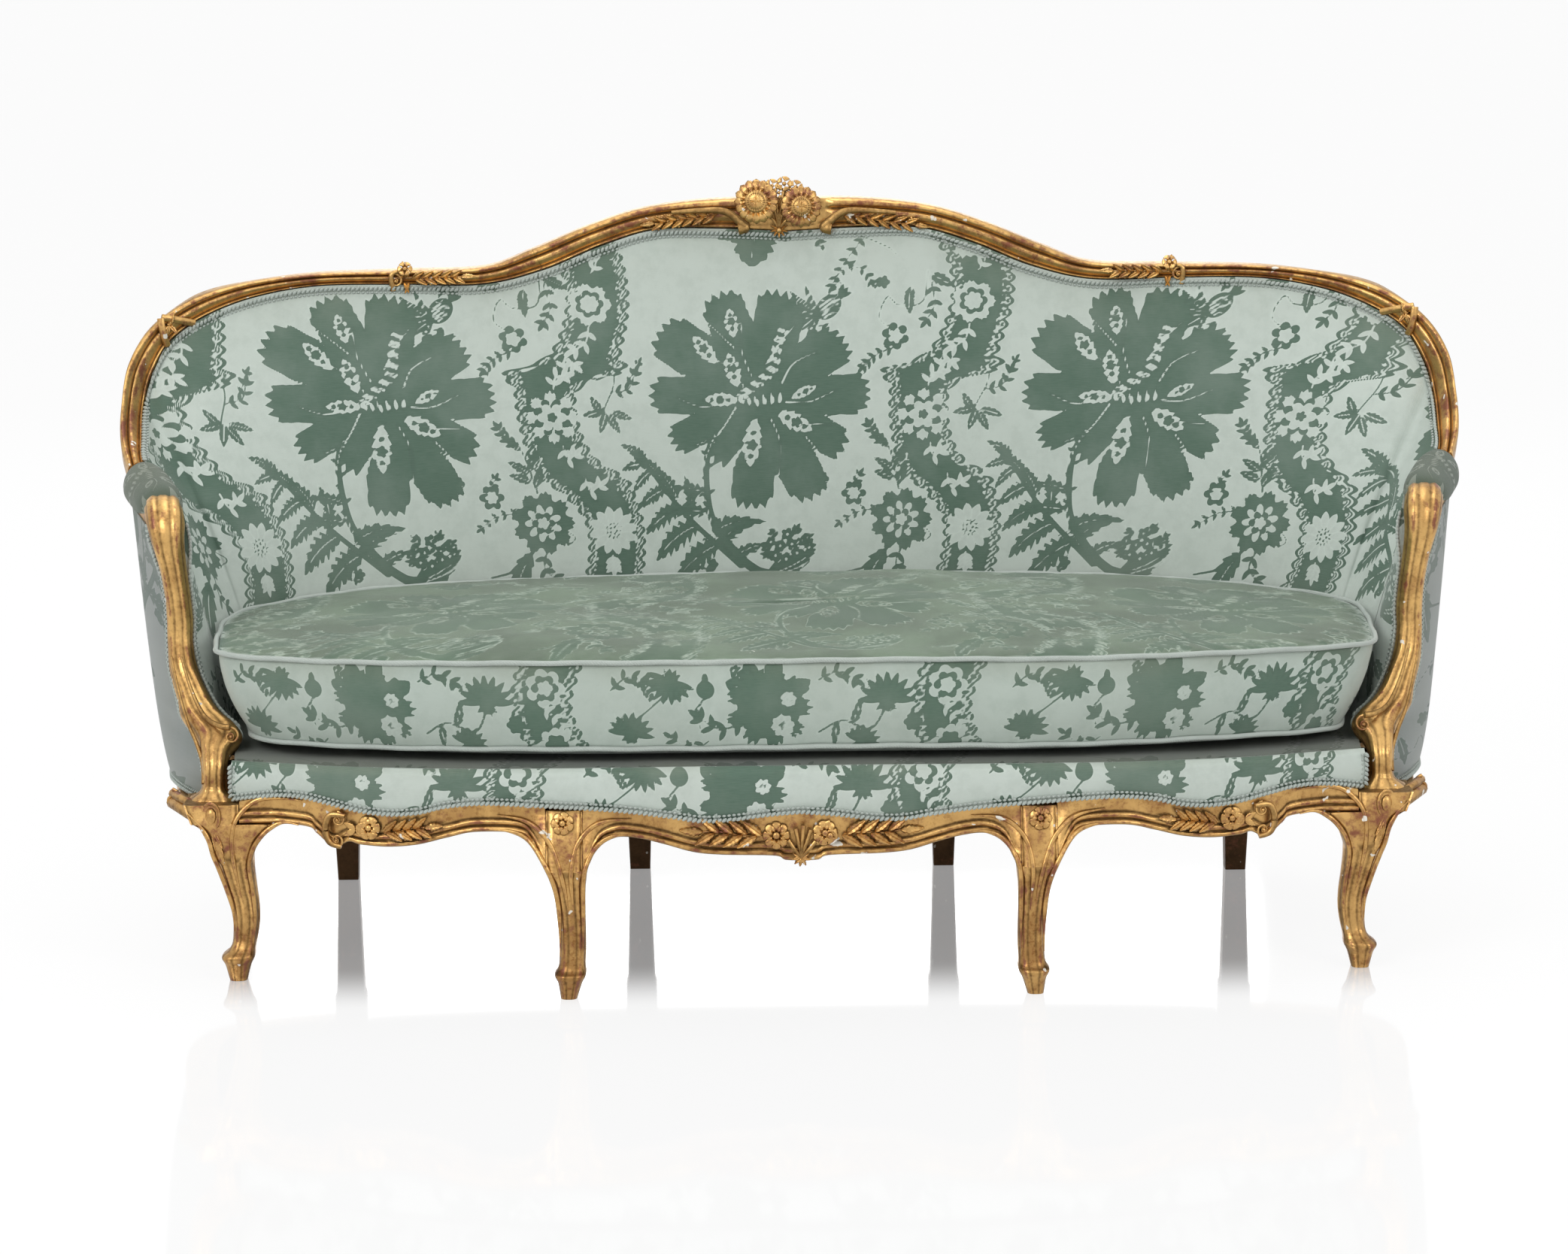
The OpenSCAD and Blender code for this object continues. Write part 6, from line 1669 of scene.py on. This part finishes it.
class SOFA_OT_cushion(SofaOperator):
    """Model the loose feather cushion with its border and welts"""
    bl_idname = "sofa.cushion"
    bl_label = "Cushion"

    def execute(self, context):
        top, u, run = seam_ring(TOP_SEAM)
        bottom = seam_ring(BOTTOM_SEAM)[0]
        arc = np.linspace(0, run[-1], int(run[-1] / .0037), endpoint=False)
        even = np.interp(arc, run, u)
        top, bottom = (np.stack([np.interp(even, u, column) for column in line.T], 1) for line in (top, bottom))
        arc = np.where(arc > run[-1] / 2, arc - run[-1], arc)
        # Rings from the middle of the underside over the border to the middle of the top
        k = np.concatenate([np.linspace(.985, .13, 22), .13 * np.linspace(1, 0, 14)[1:] ** 1.6])
        belly = np.interp(k, [0, .03, .10, .22, .46, 1], [0, .30, .72, 1, 1, 1])
        r = np.linspace(0, 1, int(BORDER_H / .003))[1:-1]
        k2 = np.concatenate([.13 * np.linspace(0, 1, 14) ** 1.6, np.linspace(.13, .985, 92)[1:]])
        crown = np.interp(k2, [0, .03, .10, .25, .46, .72, 1], [0, .16, .42, .72, .90, .98, 1])
        crown = np.where(k2 < .02, crown, np.convolve(np.pad(crown, 4, "edge"), np.ones(9) / 9, "valid"))
        share, into, rise, swell = (np.concatenate(column)[:, None] for column in (
            (k * 0, r, k2 * 0 + 1), (k, r * 0, k2), (-belly * BELLY_H, r * 0, crown * CROWN_H),
            (k * 0, BORDER_SWELL * np.sin(np.pi * r) ** .75, k2 * 0)))
        normal = seam_normals(top)
        x, y = np.moveaxis(lerp(bottom, top, share[..., None]) + normal * swell[..., None], -1, 0)
        x, y = lerp(x, x * .15, into), lerp(y, (TOP_SEAM[0, 1] + TOP_SEAM[-1, 1]) / 2, into)
        seam_z = SEAT_Z + GAP * 1.5 + BELLY_H
        z = seam_z + BORDER_H * share + rise - droop(x)
        # Puckers that run out from the seams, and the hollows left by use
        on_top = (share == 1) & (into > 0)
        on_side = (share > 0) & (share < 1)
        edge = np.exp(-into / .05) * (1 - np.exp(-into / .008))
        phase = arc * 2 * math.pi / .043 + 1.7 * np.sin(arc * 9) + 3 * np.sin(arc * 2.3)
        hollow = (.0055 * np.sin(x * 4.1 + .6) * np.sin(y * 7 + 1.1) + .0035 * np.sin(x * 9.3 + y * 5)
                  + .0016 * np.sin(x * 23 + 4 * np.sin(y * 9)) + .0009 * np.sin(y * 41 + 5 * np.sin(x * 7)))
        z = z + on_top * (edge * .0012 * np.sin(phase) + hollow * smooth(into * 4) - .004 * smooth(into * 3))
        side = on_side * (.0011 * np.sin(phase * .6) + .0016 * np.sin(arc * 6.1)) * np.sin(math.pi * share)
        side_ink = damask_ink(arc, (share - .5) * BORDER_H, "border")
        # On the cushion's border, the upper third is made darker.
        layers = {
            "ink": np.where(share == 0, -4, np.where(on_top, damask_ink(x - .10, y + .05), side_ink)),
            "cloth": np.where(on_top[..., None], xyz(x, y, 0), xyz(arc, z, 0)),
            "soil": np.where(on_top, .3, .20 + .5 * smooth(share * 3 - 2)), "fade": on_top * smooth(into / .02)}
        rows = xyz(x + normal[:, 0] * side, y + normal[:, 1] * side, z)
        finish(shell("feather_cushion", rows, **layers), cushion_damask, "cushion_damask", "seat_cushion",
               body="cushion", padded=.65)
        turn = np.linspace(0, 2 * math.pi, 10, endpoint=False)
        wobble = (.0006 * np.sin(arc * 60) + .0008 * np.sin(arc * 13))[:, None]
        for part, line, z0 in (("top", top, seam_z + BORDER_H), ("bottom", bottom, seam_z)):
            off = .0039 + .0035 * np.cos(turn) + wobble
            x, y = np.moveaxis(line[:, None] + seam_normals(line)[:, None] * off[..., None], -1, 0)
            ring = xyz(x, y, z0 + .0035 * np.sin(turn) - droop(line[:, :1]) + wobble)
            piping = shell(f"cushion_piping_{part}", np.concatenate([ring, ring[:1]]), ends=False)
            finish(piping, welt_silk, "welt", f"cushion_welt_{part}", body="cushion")
        return {"FINISHED"}


def braid(points, normals, inward):
    """A twisted cord with looped edge along a path, as beads laid slantwise."""
    run, pitch = length_so_far(points), settings().gimp_pitch
    at = np.arange(pitch / 2, run[-1], pitch)
    points, up, side = (np.stack([np.interp(at, run, column) for column in np.broadcast_to(a, points.shape).T], 1)
                        for a in (points, normals, inward))
    up, side = unit(up), unit(side)
    twist, loop = bead_model(6, 5), bead_model(6, 4)
    parts = []
    for p, n, b, t in zip(points, up, side, unit(np.cross(side, up))):
        parts.append((twist, place(p, t * .78 + b * .62, n, (.0048, .0026, .0026))))
        parts.append((loop, place(p + b * .0060, t, n, (.0027, .0019, .0016))))
    return parts


class SOFA_OT_gimp(SofaOperator):
    """Model the gimp along each edge where cloth meets gilding"""
    bl_idname = "sofa.gimp"
    bl_label = "Gimp"

    def execute(self, context):
        u = np.linspace(-STILE_END, STILE_END, 900)
        behind = sides(u, back_way(u))
        across = sides(u, way(SIGHT, np.abs(u)) - way(RIM, np.abs(u)))
        line = pad_front(u, 1 - .0052 / .6) - behind * .0024
        finish(assemble("gimp_back", braid(line, -behind, across)), gimp_silk, "gimp")

        x = np.linspace(-BORDER_END, BORDER_END, 500) * HALF[0]
        line = xyz(x, front_y(x) - .0026, rail_z(x) + .0022)
        x, y, z = line[-1] + [.0015, -.0006, .002]
        rise = xyz(x, y, np.linspace(z, .306, 12))
        parts = braid(line, (0, -1, 0), (0, 0, 1)) + with_twins(braid(rise, (.2, -1, 0), (-1, 0, 0)))
        finish(assemble("gimp_border", parts), gimp_silk, "gimp", "border_gimp")

        parts = []
        v = np.linspace(.12, .93, 120)
        for point, table, side in ((pad_front, INSIDE_FRONT, -1), (cover_point, OUTSIDE_FRONT, 1)):
            edge = front_edge(table, v)
            line = meet_support(point(edge, v), side, 1.0)
            ahead = meet_support(point(edge - .1, v), side, .96) - line
            out = unit(np.cross(np.gradient(line, axis=0), ahead))
            out = out * np.sign(np.sum(out * outwards(edge), -1, keepdims=True)) * side
            parts += braid(line + out * .001, out, unit(ahead))
        u = np.linspace(-17.2, 17.2, 900)
        t = (np.abs(u) - ARM_START) / (OUTSIDE_FRONT[0] - ARM_START)
        out = sides(u, outwards(np.abs(u)))
        low = braid(meet_support(cover_point(u, .012), 1, t) + out * .001, out, (0, 0, 1))
        finish(assemble("gimp_arms", with_twins(parts) + low), gimp_silk, "gimp")
        return {"FINISHED"}


class SOFA_OT_dust_cover(SofaOperator):
    """Model the black cotton cloth tacked under the seat"""
    bl_idname = "sofa.dust_cover"
    bl_label = "Dust cover"

    def execute(self, context):
        low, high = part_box("dust_cover")
        a, b = np.linspace(-1, 1, 140)[:, None], np.linspace(0, 1, 60)
        line = way(SIDE_PLAN, np.linspace(8, len(SIDE_PLAN) - 1.2, 200))[::-1]
        side = np.interp(lerp(low[1] + .03, high[1] - .04, b), line[:, 1], line[:, 0]) - RAIL_T - .002
        x = a * np.minimum(side, lerp(.70, high[0], smooth(b * 5)))
        rear = height(OUTER_FOOT, np.abs(x)) - RAIL_T * .45
        y = lerp(front_y(x) + RAIL_T + .001, np.minimum(rear, high[1] - .001), b)
        rows = xyz(x, y, low[2] + CLOTH_T / 2 - .0035 * np.sin(np.pi * b) * (1 - a ** 2))
        cloth = shell("dust_cloth", join(rows, rows[:, [-1, 0]] + [0, 0, .0015]))
        finish(cloth, black_cotton, "dust_cloth", "dust_cover")
        return {"FINISHED"}


CLASSES = (SOFA_OT_stage, SOFA_OT_back_frame, SOFA_OT_arm_supports, SOFA_OT_front_legs, SOFA_OT_hidden_frame,
           SOFA_OT_seat_rails, SOFA_OT_crest_carving, SOFA_OT_rail_carving, SOFA_OT_inside, SOFA_OT_outside,
           SOFA_OT_seat, SOFA_OT_cushion, SOFA_OT_gimp, SOFA_OT_dust_cover)


class SOFA_PT_panel(bpy.types.Panel):
    """Sizes and colours of the sofa, and a button for each group of pieces"""
    bl_idname = "SOFA_PT_panel"
    bl_label = "Cabriole sofa"
    bl_space_type = "VIEW_3D"
    bl_region_type = "UI"
    bl_category = "Sofa"

    def draw(self, context):
        for key in SofaProperties.__annotations__:
            self.layout.prop(context.scene.sofa, key)
        for item in CLASSES:
            self.layout.operator(item.bl_idname)


def register():
    for item in (SofaProperties, *CLASSES, SOFA_PT_panel):
        bpy.utils.register_class(item)
    bpy.types.Scene.sofa = bpy.props.PointerProperty(type=SofaProperties)


def unregister():
    del bpy.types.Scene.sofa
    for item in reversed((SofaProperties, *CLASSES, SOFA_PT_panel)):
        bpy.utils.unregister_class(item)


def main():
    register()
    for item in CLASSES:
        getattr(bpy.ops.sofa, item.bl_idname.split(".")[1])()
    lists = [[list(corner) for corner in box] for box in (cad_box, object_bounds())]


if __name__ == "__main__":
    main()
